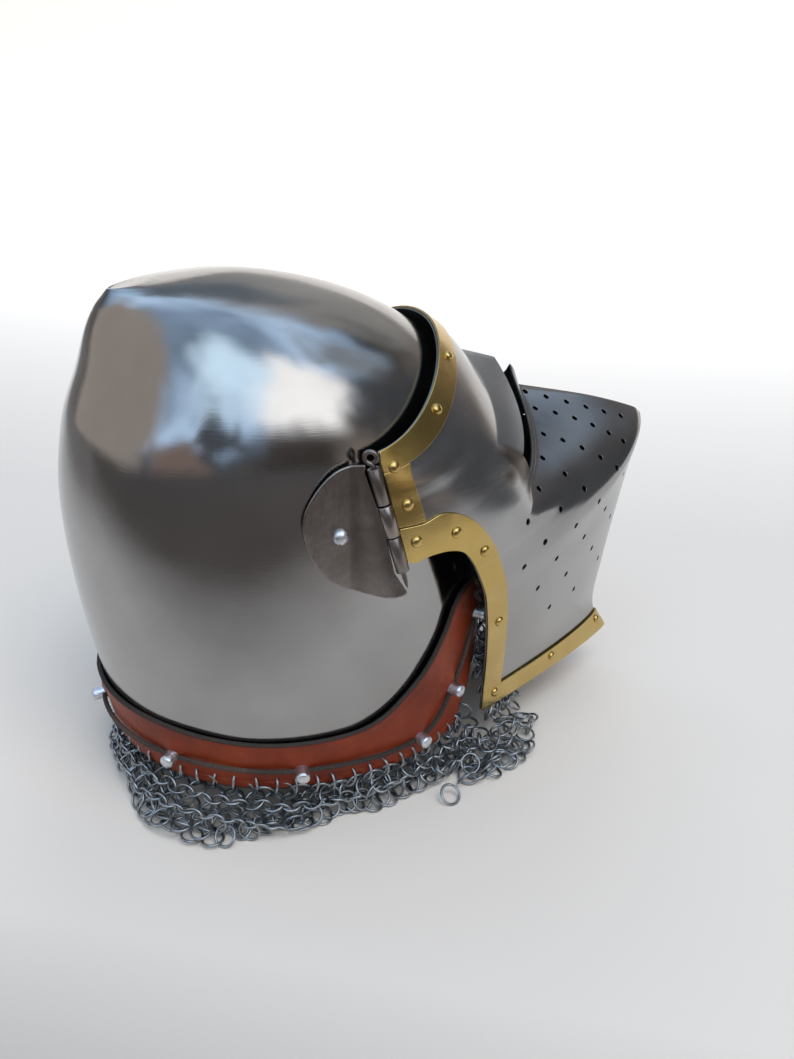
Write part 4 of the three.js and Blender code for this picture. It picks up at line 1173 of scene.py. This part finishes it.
def add_floor():
    """A pale floor that sweeps up into a wall behind the object."""
    reach, bend, height, half = 3.4, 0.9, 1.7, 6.0
    profile = [(-6.0, 0.0), (-1.5, 0.0), (0.0, 0.0), (reach, 0.0)]
    turns = np.linspace(0.1, math.pi / 2, 14)
    profile += [(reach + bend * math.sin(w), bend * (1 - math.cos(w))) for w in turns]
    profile.append((reach + bend, height))
    points = [(*(AWAY * along + ACROSS * side), z) for along, z in profile for side in (-half, half)]
    faces = [(2 * n, 2 * n + 2, 2 * n + 3, 2 * n + 1) for n in range(len(profile) - 1)]
    s = Shader("floor")
    near = s.toward(SHADED_SIDE)
    beyond = s.span(s.toward((*(ACROSS - AWAY / 2), 0)), 0.5, 1.1)
    pale = s.mix(beyond, (0.68, 0.62, 0.56), (0.3, 0.255, 0.22))
    # Painted light: the floor glows more the farther it lies from its shaded side, though not beyond the view
    # on the left, where it is darker.
    glow = s.math("MULTIPLY", s.span(near, -1.9, -0.35, 0.5, 0.0), s.math("SUBTRACT", 1.0, beyond))
    # Painted shadow: towards its shaded side the floor turns dark brown.
    s.set(Base_Color=s.mix(s.span(near, 0.22, 0.46), pale, (0.11, 0.085, 0.07)), Roughness=0.9,
          Emission_Color=(1.0, 0.96, 0.92), Emission_Strength=glow)
    add_object("floor", smooth_mesh("floor", points, faces, [s.owner]))


def add_area(name, direction, distance, size, radiance, colour=(1, 1, 1)):
    """A soft light in a direction from the object, as bright as its radiance over its face."""
    light = bpy.data.lights.new(name, "AREA")
    light.shape = "RECTANGLE"
    light.size, light.size_y = size
    light.energy = radiance * math.pi * size[0] * size[1]
    light.color = colour
    lamp = add_object(name, light)
    lamp.visible_glossy = False
    middle = Vector((0, 0, 0.15))
    lamp.location = middle + Vector(direction).normalized() * distance
    lamp.rotation_euler = (middle - lamp.location).to_track_quat("-Z", "Y").to_euler()


# The sky's tones, from under the skyline to overhead. Columns: place in the ramp, colour.
SKY = [
    (0.0, 0.2, 0.17, 0.15), (0.16, 0.16, 0.135, 0.12), (0.25, 0.1, 0.09, 0.085), (0.36, 0.05, 0.05, 0.05),
    (0.43, 0.07, 0.085, 0.11), (0.5, 0.24, 0.34, 0.48), (0.62, 0.5, 0.68, 0.92), (0.74, 0.2, 0.28, 0.4),
    (0.84, 0.1, 0.14, 0.2), (1.0, 0.3, 0.36, 0.44),
]

# Patches of the surroundings. Columns: direction, cosine where it fades in, cosine where it is full, colour.
GLOWS = [
    ((-0.69, -0.19, 0.69), 0.86, 0.95, (1.0, 1.0, 1.0)),
    ((-0.50, 0.34, 0.80), 0.90, 0.98, (0.62, 0.82, 1.0)),
    ((-0.03, -0.59, 0.81), 0.93, 0.99, (0.2, 0.225, 0.26)),
    ((0.71, -0.30, 0.61), 0.84, 0.96, (0.21, 0.205, 0.2)),
    ((0.742, -0.02, 0.669), 0.93, 0.985, (0.085, 0.1, 0.12)),
    ((-0.94, -0.11, 0.05), 0.90, 0.97, (0.035, 0.03, 0.028)),
    ((0.32, 0.9, 0.3), 0.78, 0.86, (0.25, 0.225, 0.205)),
    ((-0.55, 0.83, 0.02), 0.93, 0.98, (0.16, 0.12, 0.105)),
    ((-0.80, 0.52, 0.34), 0.965, 0.985, (0.05, 0.055, 0.065)),
    ((-0.2, -0.97, 0.2), 0.82, 0.95, (0.045, 0.047, 0.052)),
]


def add_surroundings():
    """Sky over a dark skyline that is lowest behind the helmet."""
    s = Shader("studio", bpy.data.worlds, "Background", "Generated")
    bpy.context.scene.world = s.owner
    lift = s.math("MULTIPLY_ADD", s.noise(2.3, 3), 0.7, s.toward((-0.09, 0.44, 1.0)))
    torn = s.noise(5.5, 4)
    colour = s.ramp(s.span(lift, -0.05, 1.85), *SKY)
    for direction, low, high, tint in GLOWS:
        edge = s.math("MULTIPLY_ADD", torn, 0.16, s.toward(Vector(direction).normalized()))
        colour = s.mix(s.span(edge, low + 0.08, high + 0.08), colour, tint)
    s.set(Color=colour, Strength=2.4)


add_camera()
add_floor()
add_surroundings()
add_area("key", (-0.45, -0.1, 0.9), 2.0, (0.9, 0.9), 5.0, (1.0, 0.97, 0.93))
add_area("far", (0.75, -0.3, 0.62), 2.4, (1.4, 0.8), 2.0)
bpy.context.scene.view_settings.view_transform = "Standard"
